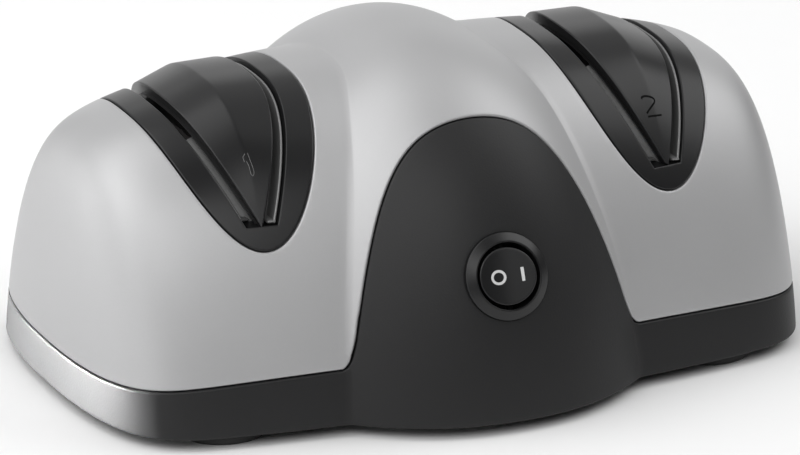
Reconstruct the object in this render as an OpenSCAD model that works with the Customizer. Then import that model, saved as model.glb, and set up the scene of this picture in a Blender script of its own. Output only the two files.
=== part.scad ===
// Two-stage electric knife sharpener, in millimetres.
// X runs along the body with stage 1 at -X, the front faces -Y and the feet stand on Z = 0.

/* [Body] */
// Length of the body at its underside
body_length = 204.8; // [199:0.2:211]
// Depth of the body from front to back at mid length, without the bulges
body_depth = 127.4; // [122:0.2:132]
// How much narrower each side is at the ends than at mid length
body_taper = 11.2; // [8:0.2:14]
// How gently that taper starts
body_taper_power = 1.8; // [1.5:0.1:3]
// Height of the body's crown over the underside at mid length, without the bulge
body_height = 79.6; // [77:0.2:82]
// How far the crown drops from mid length to the ends
crown_drop = 15.8; // [13:0.2:18]
// How gently that drop starts
crown_drop_power = 2.9; // [2.6:0.1:3.6]
// Squareness of the crown seen from the end
crown_power = 2.67; // [2.4:0.01:3]
// Lean of the flanks, 1 is a straight draft
flank_power = 1.27; // [1.15:0.01:1.4]
// Squareness of the body's corners seen from above
corner_power = 16; // [12:1:20]
// Roundness of those corners
corner_round = 2.3; // [2:0.1:3.5]
// Squareness of the body's ends seen from the front
end_power = 24; // [18:1:28]
// Roundness of those ends
end_round = 1.7; // [1.4:0.1:2.4]

/* [Central bulge] */
// Width of the bulge at the underside, between its two creases
bulge_width = 83.5; // [79:0.5:88]
// How far each crease leans in on its way up
bulge_lean = 16.4; // [13:0.2:19]
// How late that lean starts
bulge_lean_power = 1.7; // [1.4:0.1:2]
// How far each crease turns in over the crown
bulge_turn = 4; // [3:0.2:6]
// How late that turn starts
bulge_turn_power = 20; // [12:1:30]
// Swell of the bulge up its flanks, as a part of the depth
bulge_out = 0.211; // [0.19:0.001:0.23]
// Swell of the bulge over the crown, as a part of the height
bulge_up = 0.08; // [0.06:0.002:0.1]
// How late the swell falls off on its way up
bulge_fall_power = 3.2; // [2.6:0.1:4]
// Flatness of the bulge between its creases at the underside
bulge_power = 2.4; // [2.1:0.1:3]
// Flatness of the bulge between its creases over the crown
bulge_power_top = 2; // [2:0.1:2.4]

/* [Shell] */
// Wall of both housings and of the guide inserts
wall = 2.5; // [2:0.1:3]
// Gap between the two housings, and round each guide insert
seam_gap = 0.3; // [0.2:0.05:0.4]
// Top of the front panel's arch over the underside
arch_top = 72.8; // [70:0.2:75]
// Fall of the arch near its top
arch_round = 0.015; // [0.013:0.0005:0.017]
// Fall of the arch towards its feet, in millionths
arch_square = 13; // [11:0.5:14]
// Height of the base strip at mid length
strip_height = 14.6; // [12:0.2:17]
// How much lower the strip is at the ends
strip_drop = 3; // [2:0.2:4]
// Length over which the arch runs out into the strip
strip_blend = 9; // [6:0.5:12]
// Thickness of the lower housing's floor
floor_thickness = 2.5; // [2:0.1:3.5]
// Clearance round pieces that seat in a recess
seat_clearance = 0.3; // [0.2:0.05:0.4]

/* [Stages] */
// Distance of each stage's middle from the body's end
stage_end = 44.3; // [42:0.1:46]
// Lowest point of a guide insert over the underside
stage_tip = 44.85; // [43:0.05:47]
// Spread of the guide insert's outline, the larger the wider
stage_spread = 16.4; // [14:0.2:18]
// Lower end of the blade slots over the underside
slot_foot = 50.9; // [50:0.1:53]
// Distance of a slot's lower end from the stage's middle
slot_foot_offset = 2.95; // [2.8:0.05:3.4]
// Lean of the slots away from each other
slot_tilt = 24; // [21:0.5:26]
// Width of a slot, with its spring leaf in it
slot_width = 4; // [3.6:0.1:4.4]
// Depth of a slot below the outer surface
slot_depth = 7; // [6:0.5:9]
// Depth to which a slot is open over the grinding wheel
slot_through = 19; // [17:0.5:21]
// Length of the slot's open floor over the grinding wheel
slot_opening = 32; // [28:1:38]
// Wall at each side of a slot below the cover
trough_wall = 1.8; // [1.4:0.1:2.2]
// Thickness of the ribs between the slots' walls and the cover
rib_thickness = 1.6; // [1.2:0.1:2]
// Distance of the outer ribs from the long axis
rib_y = 29; // [27:0.5:32]
// Clearance round and beside the grinding wheels
wheel_clearance = 1.5; // [1:0.1:2]
// Height of the wedge's ridge over the crown beside it
wedge_rise = 2.6; // [1.5:0.1:3.5]
// Slope of the wedge's outer shoulder in degrees
wedge_shoulder = 21.5; // [18:0.5:24]
// Level at which the wedge starts to rise, as a part of the height
wedge_start = 0.66; // [0.6:0.01:0.7]
// Level at which the wedge has its full height
wedge_full = 0.96; // [0.9:0.01:1]

/* [Spring leaves] */
// Thickness of the leaf strip
leaf_thickness = 0.8; // [0.5:0.1:1]
// Gap between the leaf and the slot's outer wall
leaf_gap = 0.3; // [0.2:0.05:0.4]
// Depth of the leaf's front edge below the outer surface
leaf_set_back = 2; // [1.5:0.1:2.6]
// Length of the leaf's foot across the slot
leaf_foot = 2.2; // [1.5:0.1:2.6]

/* [Switch] */
// Height of the switch's middle over the underside
switch_height = 36.8; // [34:0.2:40]
// Diameter of the bezel
bezel_d = 23; // [22:0.5:24]
// Height of the bezel over the floor of its recess
bezel_height = 2.6; // [2.2:0.1:3]
// Depth of the recess for the bezel
bezel_recess = 2; // [1.8:0.1:2.4]
// Diameter of the switch barrel
barrel_d = 20; // [19.5:0.1:20.4]
// Depth of the switch barrel behind the recess
barrel_depth = 15; // [12:0.5:18]
// Diameter of the opening that the rocker works in
rocker_opening = 17.4; // [17:0.1:17.8]
// Diameter of the rocker
rocker_d = 15; // [14.6:0.1:15.4]
// Rise of the rocker's rim over its middle
rocker_dish = 1.4; // [1:0.1:1.8]
// Travel of the rocker from off to on in degrees
rocker_travel = 22; // [16:1:24]
// Depth of the rocker's pivot below the panel
pivot_depth = 1.5; // [1.2:0.1:1.8]
// Thickness of the panel behind the switch's recess
switch_pad = 3; // [2.5:0.1:3.5]
// Diameter of the rocker's pivot pins
pivot_d = 2; // [1.6:0.1:2.2]
// Radial clearance of running fits
running_clearance = 0.05; // [0.02:0.01:0.08]
// Radial clearance of pieces fixed on the shaft or in a bracket
fixed_clearance = 0.02; // [0.01:0.01:0.04]
// Radial clearance of the screws in their posts
screw_clearance = 0.2; // [0.1:0.05:0.3]

/* [Drive] */
// Height of the motor shaft over the underside
shaft_height = 44; // [43:0.5:45]
// Diameter of the motor shaft
shaft_d = 5; // [4:0.5:6]
// How far the motor shaft runs past each stage's middle
shaft_end = 14.9; // [12:0.1:16]
// Diameter of the rotor
rotor_d = 26.4; // [24:0.2:27]
// Air gap between rotor and stator
air_gap = 0.3; // [0.25:0.05:0.5]
// Thickness of the lamination stack
stack_thickness = 22; // [18:1:24]
// Height of the lamination stack
stack_height = 44; // [42:1:46]
// Distance from the shaft to the stack's front edge
stack_front = 22; // [20:1:24]
// Distance from the shaft to the stack's back edge
stack_back = 41; // [39:1:43]
// Width of the stack's limb that carries the coil
limb_width = 9; // [8:0.5:10]
// Thickness of the coil's winding round its limb
coil_build = 6; // [4:0.5:7]
// Wall of the coil's bobbin
bobbin_wall = 1.2; // [1:0.1:1.6]
// Length of the coil along its limb
coil_length = 25; // [20:1:26]
// Distance from the stack to each bearing bracket
bracket_stand_off = 7; // [6:0.5:9]
// Thickness of the bearing brackets
bracket_thickness = 3.5; // [3:0.5:5]
// Outer diameter of the bearings
bearing_d = 12; // [10:0.5:14]
// Diameter of the cooling fan
fan_d = 42; // [36:1:44]
// Width of the cooling fan
fan_width = 8; // [6:0.5:9]
// Diameter of the grinding wheels
wheel_d = 46; // [44:0.5:47]
// Width of the grinding wheels
wheel_width = 14; // [12:0.5:15]
// Diameter of the bushes that the wheels and the fan turn on
sleeve_d = 10; // [9:0.5:12]
// Diameter of the wheel hubs
hub_d = 18; // [16:0.5:20]

/* [Base] */
// Height of the feet under the body
foot_height = 3.2; // [2.4:0.2:4]
// Diameter of the feet
foot_d = 25; // [22:0.5:27]
// Depth of the recess that each foot sits in
foot_recess = 0.8; // [0.6:0.1:1.2]
// Distance of the feet's middle from the body's end
foot_end = 32.4; // [30:0.1:36]
// Distance of the feet from the long axis
foot_y = 42.5; // [40:0.5:44]
// Number of vents in the floor
vent_count = 8; // [6:1:10]
// Distance between the vents
vent_pitch = 7; // [6:0.5:8]
// Width of the vents
vent_width = 3; // [2:0.5:4]
// Length of the vents
vent_length = 38; // [30:1:42]
// Height of the screw heads' seats over the underside
screw_seat = 4; // [3:0.5:5]
// Distance of the housing screws from the body's end
screw_end = 16.4; // [15:0.1:18]
// Distance of the housing screws from the long axis
screw_y = 25; // [22:0.5:28]
// Shank diameter of the housing screws
screw_d = 3.2; // [2.8:0.1:3.6]
// Head diameter of the housing screws
screw_head_d = 6.4; // [5.8:0.1:7]
// Length of the housing screws under their heads
screw_length = 16; // [14:1:20]
// Diameter of the screw posts
post_d = 9.5; // [9:0.5:11]
// Height at which the posts of both housings meet
post_height = 11; // [10:0.5:13]
// Bore of the cord bush
bush_bore = 6.6; // [5.5:0.1:7]
// Diameter of the cord bush's flange
bush_flange_d = 15; // [14:0.5:16]
// Height of the cord bush over the underside
bush_height = 12.5; // [12:0.5:14]
// Wall of the cord bush's neck
bush_wall = 1.8; // [1.5:0.1:2.2]
// Thickness of the boss that the cord bush snaps into
bush_pad = 4; // [3:0.5:5]
// Depth of the flat for the cord bush's flange below the rear surface
bush_recess = 2; // [1.5:0.1:3]

/* [Hidden] */
$fn = 64;

base_z = foot_height;
half_length = body_length / 2;
half_depth = body_depth / 2;
stage_x = half_length - stage_end;
foot_x = half_length - foot_end;
screw_x = half_length - screw_end;
shaft_length = 2 * (stage_x + shaft_end);
leaf_width = slot_depth - leaf_set_back - leaf_gap;
// Length of a slot up to the crown, and more than any cutter needs
slot_length = body_height - slot_foot;
far = 2 * body_length;
over = 20;
// Loft resolution: half the rings across the bulge, rings along each wing, steps round a section outside
// and round a section of a cavity
bulge_rings = 4;
wing_rings = 10;
section_steps = 28;
cavity_steps = 16;
// Share of the half length at which the loft closes with a small flat
end_closure = 0.9995;
// How strongly the rings crowd towards the ends
end_crowding = 1.9;

// ---- Outer form ----

function bisect(f, low, high, steps = 22) =
    let (middle = (low + high) / 2)
    steps == 0 ? middle
    : f(middle) < 0 ? bisect(f, middle, high, steps - 1)
    : bisect(f, low, middle, steps - 1);

function smooth_step(t) = let (c = min(1, max(0, t))) c * c * (3 - 2 * c);

// Size of the unit section in the direction of angle a, 0 at the front edge and 90 at the crown
function section_scale(a) = bisect(
    function(r) pow(r * abs(cos(a)), crown_power) + pow(r * abs(sin(a)), flank_power) - 1, 0.3, 1.5);

// Distance of the crease from mid length at level u, 0 at the underside and 1 at the crown
function crease_x(u) = bulge_width / 2
    - bulge_lean * pow(u, bulge_lean_power) - bulge_turn * pow(u, bulge_turn_power);

function end_share(x, inset) = min(1, abs(x) / (half_length - inset));

function section_half_depth(x, inset) = let (t = end_share(x, inset))
    (half_depth - body_taper * pow(t, body_taper_power) - inset)
    * pow(1 - pow(t, corner_power), 1 / corner_round);

function section_height(x, inset) = let (t = end_share(x, inset))
    (body_height - crown_drop * pow(t, crown_drop_power) - inset)
    * pow(1 - pow(t, end_power), 1 / end_round);

function swell(x, u) =
    (bulge_out - (bulge_out - bulge_up) * pow(u, bulge_fall_power))
    * max(0, 1 - pow(abs(x) / crease_x(u), bulge_power + (bulge_power_top - bulge_power) * u));

// Point of the skin at x and angle a, drawn in by inset, and raised to a wedge if its share is 1
function skin_point(x, a, scale, inset, wedge = 0) =
    let (u = scale * sin(a), k = scale * (1 + swell(x, u)),
        rise = wedge * smooth_step((u - wedge_start) / (wedge_full - wedge_start)),
        height = section_height(x, inset))
    [x, -section_half_depth(x, inset) * k * cos(a),
        base_z + (height + rise * (wedge_height(x) - height)) * k * sin(a)];

// Height of a wedge's crown: level on its inner side, sloping down on its outer side
function wedge_height(x) = section_height(stage_x, 0) + wedge_rise
    - max(0, abs(x) - stage_x) * tan(wedge_shoulder);

function ring_x(i, u, inset) =
    let (edge = crease_x(u), reach = (half_length - inset) * end_closure,
        wing = (abs(i) - bulge_rings) / wing_rings)
    sign(i) * (abs(i) <= bulge_rings ? edge * abs(i) / bulge_rings
        : edge + (reach - edge) * (1 - pow(1 - wing, end_crowding)));

// Closed loft through rings of steps + 1 points each
module loft(points, rings, steps) {
    function at(i, j) = i * (steps + 1) + j;
    sides = [for (i = [0:rings - 2]) for (j = [0:steps - 1])
        each [[at(i, j), at(i, j + 1), at(i + 1, j + 1)], [at(i, j), at(i + 1, j + 1), at(i + 1, j)]]];
    underside = [for (i = [0:rings - 2])
        each [[at(i, 0), at(i + 1, 0), at(i + 1, steps)], [at(i, 0), at(i + 1, steps), at(i, steps)]]];
    ends = [for (j = [1:steps - 1])
        each [[at(0, 0), at(0, j + 1), at(0, j)],
            [at(rings - 1, 0), at(rings - 1, j), at(rings - 1, j + 1)]]];
    polyhedron(points, concat(sides, underside, ends));
}

module body_skin(inset, steps = section_steps) {
    rings = bulge_rings + wing_rings;
    angles = [for (j = [0:steps]) 180 * j / steps];
    scales = [for (a = angles) section_scale(a)];
    loft([for (i = [-rings:rings]) for (j = [0:steps])
        skin_point(ring_x(i, scales[j] * sin(angles[j]), inset), angles[j], scales[j], inset)],
        2 * rings + 1, steps);
}

module cavity() {
    body_skin(wall, cavity_steps);
}

// Outside of a wedge, with a ring at its ridge
module wedge_skin() {
    angles = [for (j = [0:section_steps]) 180 * j / section_steps];
    scales = [for (a = angles) section_scale(a)];
    places = [-1, -0.5, 0, 0.25, 0.5, 0.75, 1];
    loft([for (place = places) for (j = [0:section_steps])
        skin_point(stage_x + place * wedge_reach, angles[j], scales[j], 0, 1)],
        len(places), section_steps);
}

// The outer wall alone, open underneath
module body_shell() {
    difference() {
        body_skin(0);
        translate([0, 0, -foot_height / 2])
            cavity();
        cavity();
    }
}

// Depth of the front surface at x and height z
function front_y(x, z) = let (
    a = bisect(function(a) skin_point(x, a, section_scale(a), 0)[2] - z, 0, 90))
    skin_point(x, a, section_scale(a), 0)[1];

// ---- Seam between the housings ----

function smooth_max(a, b, blend) = max(a, b) + pow(max(blend - abs(a - b), 0), 2) / (4 * blend);

function seam_z(x) = base_z + smooth_max(
    arch_top - arch_round * x * x - arch_square * pow(x / 10, 4) / 100,
    strip_height - strip_drop * pow(abs(x) / half_length, 3), strip_blend);

function seam_point(x, gap) =
    let (slope = (seam_z(x + 0.1) - seam_z(x - 0.1)) / 0.2, k = norm([1, slope]))
    [x - gap * slope / k, seam_z(x) + gap / k];

module front_extrude() {
    rotate([90, 0, 0])
        linear_extrude(far, center = true)
            children();
}

// Everything below the seam, drawn up by gap
module below_seam(gap) {
    reach = half_length + 10;
    inner = [for (x = [-bulge_width / 2 - strip_blend:2:0]) x];
    outer = [for (x = [-reach:8:inner[0] - 4]) x];
    half = concat(outer, inner);
    stations = concat(half, [for (k = [len(half) - 1:-1:0]) -half[k]]);
    front_extrude()
        polygon(concat([[-reach, -10]], [for (x = stations) seam_point(x, gap)], [[reach, -10]]));
}

// ---- Stages ----

module at_stage(side) {
    mirror([side < 0 ? 1 : 0, 0, 0])
        translate([stage_x, 0, 0])
            children();
}

// Outline of the guide insert in the front view, drawn in by gap
module stage_outline(gap) {
    reach = 30;
    front_extrude()
        polygon([for (s = [-reach:2:reach])
            let (slope = 2 * s / stage_spread, k = norm([1, slope]))
            [s - gap * slope / k, base_z + stage_tip + s * s / stage_spread + gap / k]]);
}

// Local frame of a slot: X across it towards its outer wall, Y along it, Z up it from its foot
module at_slot(way) {
    translate([way * slot_foot_offset, 0, base_z + slot_foot])
        rotate([0, way * slot_tilt, 0])
            children();
}

// Where the slot's middle plane meets the skin at angle a, as depth and height in the slot's frame
function slot_curve(way, a, inset, height = slot_length, steps = 6) =
    let (x = stage_x + way * (slot_foot_offset + height * sin(slot_tilt)),
        p = skin_point(x, a, section_scale(a), inset), up = (p[2] - base_z - slot_foot) / cos(slot_tilt))
    steps == 0 ? [p[1], up] : slot_curve(way, a, inset, up, steps - 1);

// Flat slab in a slot's plane between two depths below the skin
module slot_slab(way, thickness, outer_inset, inner_inset, low) {
    angles = [12:4:168];
    rotate([90, 0, 90])
        linear_extrude(thickness, center = true)
            intersection() {
                polygon(concat([for (a = angles) slot_curve(way, a, outer_inset)],
                    [for (a = angles) slot_curve(way, 180 - a, inner_inset)]));
                translate([-far / 2, low])
                    square(far);
            }
}

module slot_cut(way) {
    at_slot(way) {
        slot_slab(way, slot_width, -slot_depth, slot_depth, 0);
        intersection() {
            slot_slab(way, slot_width, -slot_depth, slot_through, 0);
            cube([far, slot_opening, far], center = true);
        }
    }
}

// Room for the grinding wheel under the insert
module wheel_room() {
    translate([0, 0, base_z + shaft_height])
        rotate([0, 90, 0])
            cylinder(d = wheel_d + 2 * wheel_clearance, h = wheel_width + 2 * wheel_clearance, center = true);
}

// Rib that braces a slot's outer wall against the cover, from a foot on that wall up to the crown
module trough_rib(way, y, foot) {
    root = slot_width / 2 + trough_wall / 2;
    spread = slot_length / 2;
    at_slot(way)
        hull()
            for (p = [[root, foot], [root, slot_length], [root + spread, slot_length]])
                translate([way * p[0], y, p[1]])
                    cube([trough_wall / 2, rib_thickness, 1], center = true);
}

module trough_ribs() {
    intersection() {
        body_skin(wall / 2);
        translate([stage_x, 0, 0])
            intersection() {
                stage_outline(wall);
                union() {
                    for (way = [-1, 1])
                        for (end = [-1, 1]) {
                            trough_rib(way, end * rib_y, 0);
                            trough_rib(way, end * rib_y / 3, slot_length - slot_depth - trough_wall);
                        }
                }
            }
    }
}

// How far a wedge runs out to each side at the crown
wedge_reach = slot_foot_offset + slot_length * tan(slot_tilt) + slot_width / 2;

// Front view of a wedge, out to the middle of the slot on each side
module wedge_profile() {
    foot = base_z + slot_foot;
    root = foot - wall;
    top = foot + 2 * slot_length;
    spread = slot_foot_offset + (top - foot) * tan(slot_tilt);
    front_extrude()
        polygon([[-slot_foot_offset, root], [slot_foot_offset, root], [slot_foot_offset, foot],
            [spread, top], [-spread, top], [-slot_foot_offset, foot]]);
}

module guide_insert(side) {
    color("dimgray")
        mirror([side < 0 ? 1 : 0, 0, 0])
            difference() {
                union() {
                    intersection() {
                        body_shell();
                        translate([stage_x, 0, 0])
                            stage_outline(seam_gap);
                    }
                    intersection() {
                        difference() {
                            wedge_skin();
                            cavity();
                        }
                        translate([stage_x, 0, 0])
                            wedge_profile();
                    }
                    translate([stage_x, 0, 0])
                        for (way = [-1, 1])
                            at_slot(way)
                                slot_slab(way, slot_width + 2 * trough_wall, wall / 2,
                                    slot_depth + trough_wall, -trough_wall);
                    trough_ribs();
                }
                translate([stage_x, 0, 0]) {
                    slot_cut(-1);
                    slot_cut(1);
                    wheel_room();
                }
            }
}

module spring_leaf(side, way) {
    shift = slot_width / 2 - leaf_gap - leaf_thickness / 2;
    color("silver")
        at_stage(side)
            difference() {
                at_slot(way) {
                    translate([way * shift, 0, 0])
                        slot_slab(way, leaf_thickness, leaf_set_back, leaf_set_back + leaf_width, leaf_gap);
                    translate([way * (shift - leaf_foot / 2), 0, 0])
                        intersection() {
                            slot_slab(way, leaf_foot, leaf_set_back, leaf_set_back + leaf_width, leaf_gap);
                            translate([-far / 2, -far / 2, 0])
                                cube([far, far, leaf_gap + leaf_thickness]);
                        }
                }
                wheel_room();
            }
}

// ---- Lower housing ----

module at_corners(x, y) {
    for (side = [-1, 1])
        for (way = [-1, 1])
            translate([side * x, way * y, 0])
                children();
}

// Vents between the two saddles of the motor
module floor_vents() {
    middle = (stack_back - stack_front) / 2;
    for (k = [0:vent_count - 1])
        hull()
            for (end = [-1, 1])
                translate([(k - (vent_count - 1) / 2) * vent_pitch,
                        middle + end * (vent_length - vent_width) / 2, base_z - 1])
                    cylinder(d = vent_width, h = floor_thickness + 2, $fn = 16);
}

module post_bore() {
    translate([0, 0, base_z - 1])
        cylinder(d = screw_head_d + 2 * seat_clearance, h = 1 + screw_seat, $fn = 32);
    translate([0, 0, base_z])
        cylinder(d = screw_d + 2 * screw_clearance, h = post_height + 1, $fn = 24);
}

module lower_housing() {
    pad = bezel_recess + switch_pad;
    color([0.12, 0.12, 0.12])
        difference() {
            union() {
                intersection() {
                    difference() {
                        body_skin(0);
                        intersection() {
                            cavity();
                            translate([0, 0, far / 2 + base_z + floor_thickness])
                                cube(far, center = true);
                        }
                    }
                    below_seam(-seam_gap / 2);
                }
                intersection() {
                    body_skin(wall / 2);
                    union() {
                        at_switch()
                            translate([0, 0, -pad])
                                cylinder(d = bezel_d + 2 * wall, h = pad, $fn = 48);
                        translate([0, bush_face - bush_pad, base_z + bush_height])
                            rotate([-90, 0, 0])
                                cylinder(d = bush_flange_d + wall, h = bush_pad, $fn = 40);
                    }
                }
                at_corners(screw_x, screw_y)
                    translate([0, 0, base_z])
                        cylinder(d = post_d, h = post_height, $fn = 32);
                motor_cradle();
            }
            at_switch() {
                translate([0, 0, -bezel_recess])
                    cylinder(d = bezel_d + 2 * seat_clearance, h = over, $fn = 48);
                translate([0, 0, -pad - 1])
                    cylinder(d = barrel_d + 2 * seat_clearance, h = over, $fn = 48);
            }
            translate([0, bush_face, base_z + bush_height])
                rotate([-90, 0, 0])
                    cylinder(d = bush_flange_d + 2 * seat_clearance, h = over, $fn = 40);
            translate([0, bush_face - bush_pad - 1, base_z + bush_height])
                rotate([-90, 0, 0])
                    cylinder(d = bush_neck_d + 2 * seat_clearance, h = over, $fn = 32);
            at_corners(foot_x, foot_y)
                translate([0, 0, base_z - 1])
                    cylinder(d = foot_d + 2 * seat_clearance, h = foot_recess + 1, $fn = 48);
            at_corners(screw_x, screw_y)
                post_bore();
            floor_vents();
        }
}

// Two saddles that carry the lamination stack
module motor_cradle() {
    low = base_z + floor_thickness - 0.5;
    for (y = [-stack_front + saddle_inset, stack_back - saddle_inset - saddle_width])
        translate([-stack_thickness / 2 + 2, y, low])
            cube([stack_thickness - 4, saddle_width, stack_low - low]);
}

// Web that braces an upper post against the shell
module post_gusset(way) {
    up = body_height - post_height;
    hull()
        for (p = [[post_d / 2, post_d], [post_d, up], [post_d / 2, up]])
            translate([0, way * p[0], p[1]])
                cylinder(d = rib_thickness, h = 1, $fn = 12);
}

module upper_housing() {
    color([0.72, 0.72, 0.74])
        difference() {
            union() {
                difference() {
                    body_shell();
                    below_seam(seam_gap / 2);
                }
                intersection() {
                    body_skin(wall / 2);
                    at_corners(screw_x, screw_y)
                        translate([0, 0, base_z + post_height]) {
                            cylinder(d = post_d, h = body_height, $fn = 32);
                            for (way = [-1, 1])
                                post_gusset(way);
                        }
                }
            }
            for (side = [-1, 1])
                at_stage(side)
                    stage_outline(0);
            at_corners(screw_x, screw_y)
                translate([0, 0, base_z + post_height - 1])
                    cylinder(d = screw_d + 2 * screw_clearance,
                        h = screw_seat + screw_length - post_height + 3, $fn = 24);
        }
}

// ---- Switch ----

switch_z = base_z + switch_height;
switch_y = front_y(0, switch_z);
// Lean of the front panel at the switch
panel_lean = atan2(front_y(0, switch_z + bezel_d / 2) - front_y(0, switch_z - bezel_d / 2), bezel_d);

// Local frame of the switch: Z out of the panel, Y up the panel
module at_switch() {
    translate([0, switch_y, switch_z])
        rotate([90 - panel_lean, 0, 0])
            children();
}

module switch_body() {
    rim = bezel_d / 2;
    open = rocker_opening / 2;
    top = bezel_height - bezel_recess;
    bottom = -bezel_recess - barrel_depth;
    pad = bezel_recess + switch_pad;
    color([0.08, 0.08, 0.08])
        at_switch()
            difference() {
                union() {
                    rotate_extrude()
                        polygon([[open, -bezel_recess], [rim, -bezel_recess], [rim, top - 0.6],
                            [rim - 0.5, top], [rim - 1, top], [open, top - 1.2]]);
                    translate([0, 0, bottom])
                        cylinder(d = barrel_d, h = barrel_depth + 0.01);
                    for (way = [-1, 1])
                        translate([way * (barrel_d / 2 + 0.3), 0, -pad - seat_clearance - 3])
                            cube([1.4, 5, 6], center = true);
                }
                translate([0, 0, -bezel_recess - 7])
                    cylinder(d = rocker_opening, h = 12);
                translate([0, 0, -pivot_depth])
                    rotate([90, 0, 0])
                        cylinder(d = pivot_d + 2 * running_clearance, h = barrel_d - 0.8, center = true);
            }
}

module switch_rocker() {
    half = rocker_d / 2 + 1;
    rim = 1 + rocker_dish * half * 2 / rocker_d;
    color([0.1, 0.1, 0.1])
        at_switch()
            translate([0, 0, -pivot_depth])
                rotate([0, -rocker_travel / 2, 0]) {
                    intersection() {
                        cylinder(d = rocker_d, h = 20, center = true);
                        rotate([90, 0, 0])
                            linear_extrude(rocker_d + 2, center = true)
                                polygon([[-half, -3], [half, -3], [half, rim], [0, 1], [-half, rim]]);
                    }
                    rotate([90, 0, 0])
                        cylinder(d = pivot_d, h = barrel_d - 1.6, center = true);
                }
}

module switch_terminals() {
    color("gold")
        at_switch()
            for (x = [-4.5, 4.5])
                translate([x - 3.15, -0.4, -bezel_recess - barrel_depth - 8])
                    cube([6.3, 0.8, 8]);
}

// ---- Motor ----

shaft_z = base_z + shaft_height;
stack_low = shaft_z - stack_height / 2;
limb_y = stack_back - limb_width / 2;
stack_bore = rotor_d / 2 + air_gap;
window_front = stack_bore + 6;
saddle_inset = 3;
saddle_width = 6;

module along_x(x, length) {
    translate([x, 0, shaft_z])
        rotate([90, 0, 90])
            linear_extrude(length)
                children();
}

module motor_stator() {
    color([0.45, 0.46, 0.48])
        along_x(-stack_thickness / 2, stack_thickness)
            difference() {
                translate([-stack_front, -stack_height / 2])
                    square([stack_front + stack_back, stack_height]);
                circle(stack_bore);
                translate([window_front, -coil_length / 2 - seat_clearance])
                    square([stack_back - limb_width - window_front, coil_length + 2 * seat_clearance]);
            }
}

// Ring round the stack's limb: an outline grown by outer, less one grown by inner
module limb_ring(outer, inner, length) {
    translate([0, limb_y, shaft_z - length / 2])
        linear_extrude(length)
            difference() {
                square([stack_thickness + 2 * outer, limb_width + 2 * outer], center = true);
                square([stack_thickness + 2 * inner, limb_width + 2 * inner], center = true);
            }
}

module coil_bobbin() {
    color([0.92, 0.9, 0.82]) {
        limb_ring(seat_clearance + bobbin_wall, seat_clearance, coil_length);
        for (way = [-1, 1])
            translate([0, 0, way * (coil_length - bobbin_wall) / 2])
                limb_ring(seat_clearance + bobbin_wall + coil_build, seat_clearance, bobbin_wall);
    }
}

module coil_winding() {
    color([0.72, 0.38, 0.18])
        limb_ring(bobbin_wall + coil_build - seat_clearance, seat_clearance + bobbin_wall,
            coil_length - 2 * bobbin_wall);
}

bracket_x = stack_thickness / 2 + bracket_stand_off;

module bearing_bracket(side) {
    reach = stack_height / 2 - 4;
    color([0.6, 0.6, 0.62])
        mirror([side < 0 ? 1 : 0, 0, 0]) {
            along_x(bracket_x, bracket_thickness)
                difference() {
                    union() {
                        circle(bearing_d / 2 + 3);
                        square([8, 2 * reach], center = true);
                        for (way = [-1, 1])
                            translate([0, way * reach])
                                circle(4);
                    }
                    circle(bearing_d / 2 + fixed_clearance);
                }
            for (way = [-1, 1])
                translate([stack_thickness / 2, 0, shaft_z + way * reach])
                    rotate([0, 90, 0])
                        cylinder(d = 8, h = bracket_stand_off);
        }
}

module bearing(side) {
    color([0.75, 0.6, 0.3])
        mirror([side < 0 ? 1 : 0, 0, 0])
            along_x(bracket_x - 2, bracket_thickness + 4)
                difference() {
                    circle(d = bearing_d);
                    circle(d = shaft_d + 2 * running_clearance);
                }
}

module motor_shaft() {
    color([0.8, 0.8, 0.82])
        along_x(-shaft_length / 2, shaft_length)
            circle(d = shaft_d);
}

module on_shaft(d) {
    difference() {
        circle(d = d);
        circle(d = shaft_d + 2 * fixed_clearance);
    }
}

module rotor_core() {
    color([0.55, 0.55, 0.58]) {
        along_x(-stack_thickness / 2, stack_thickness)
            on_shaft(rotor_d);
        for (way = [-1, 1])
            along_x(way * (stack_thickness / 2 + 1) - 1, 2)
                on_shaft(rotor_d - 5);
    }
}

module cooling_fan() {
    fan_x = bracket_x + bracket_thickness + 4;
    blades = 7;
    color([0.85, 0.85, 0.8]) {
        along_x(fan_x, fan_width)
            on_shaft(sleeve_d);
        translate([fan_x + fan_width / 2, 0, shaft_z])
            intersection() {
                rotate([0, 90, 0])
                    difference() {
                        cylinder(d = fan_d, h = fan_width, center = true);
                        cylinder(d = sleeve_d - 0.2, h = fan_width + 1, center = true);
                    }
                for (k = [0:blades - 1])
                    rotate([360 * k / blades, 0, 0])
                        rotate([0, 0, 35])
                            translate([-fan_width, -0.7, sleeve_d / 2 - 0.8])
                                cube([2 * fan_width, 1.4, fan_d / 2]);
            }
    }
}

module wheel_hub(side) {
    color([0.3, 0.3, 0.32])
        mirror([side < 0 ? 1 : 0, 0, 0]) {
            along_x(stage_x - wheel_width / 2 + 0.5, wheel_width - 1)
                on_shaft(hub_d);
            along_x(stage_x - wheel_width / 2 - 3, wheel_width + 6)
                on_shaft(sleeve_d);
        }
}

module grinding_wheel(side) {
    r = wheel_d / 2;
    half = wheel_width / 2;
    bore = hub_d / 2 + fixed_clearance;
    color([0.7, 0.62, 0.6])
        at_stage(side)
            translate([0, 0, shaft_z])
                rotate([0, 90, 0])
                    rotate_extrude($fn = 96)
                        polygon([[bore, -half], [r - 1.2, -half], [r, -half + 1.2],
                            [r, half - 1.2], [r - 1.2, half], [bore, half]]);
}

// ---- Base ----

bush_neck_d = bush_bore + 2 * bush_wall;
// The flat that the bush's flange sits on, at the back
bush_face = -front_y(0, base_z + bush_height) - bush_recess;

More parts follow.
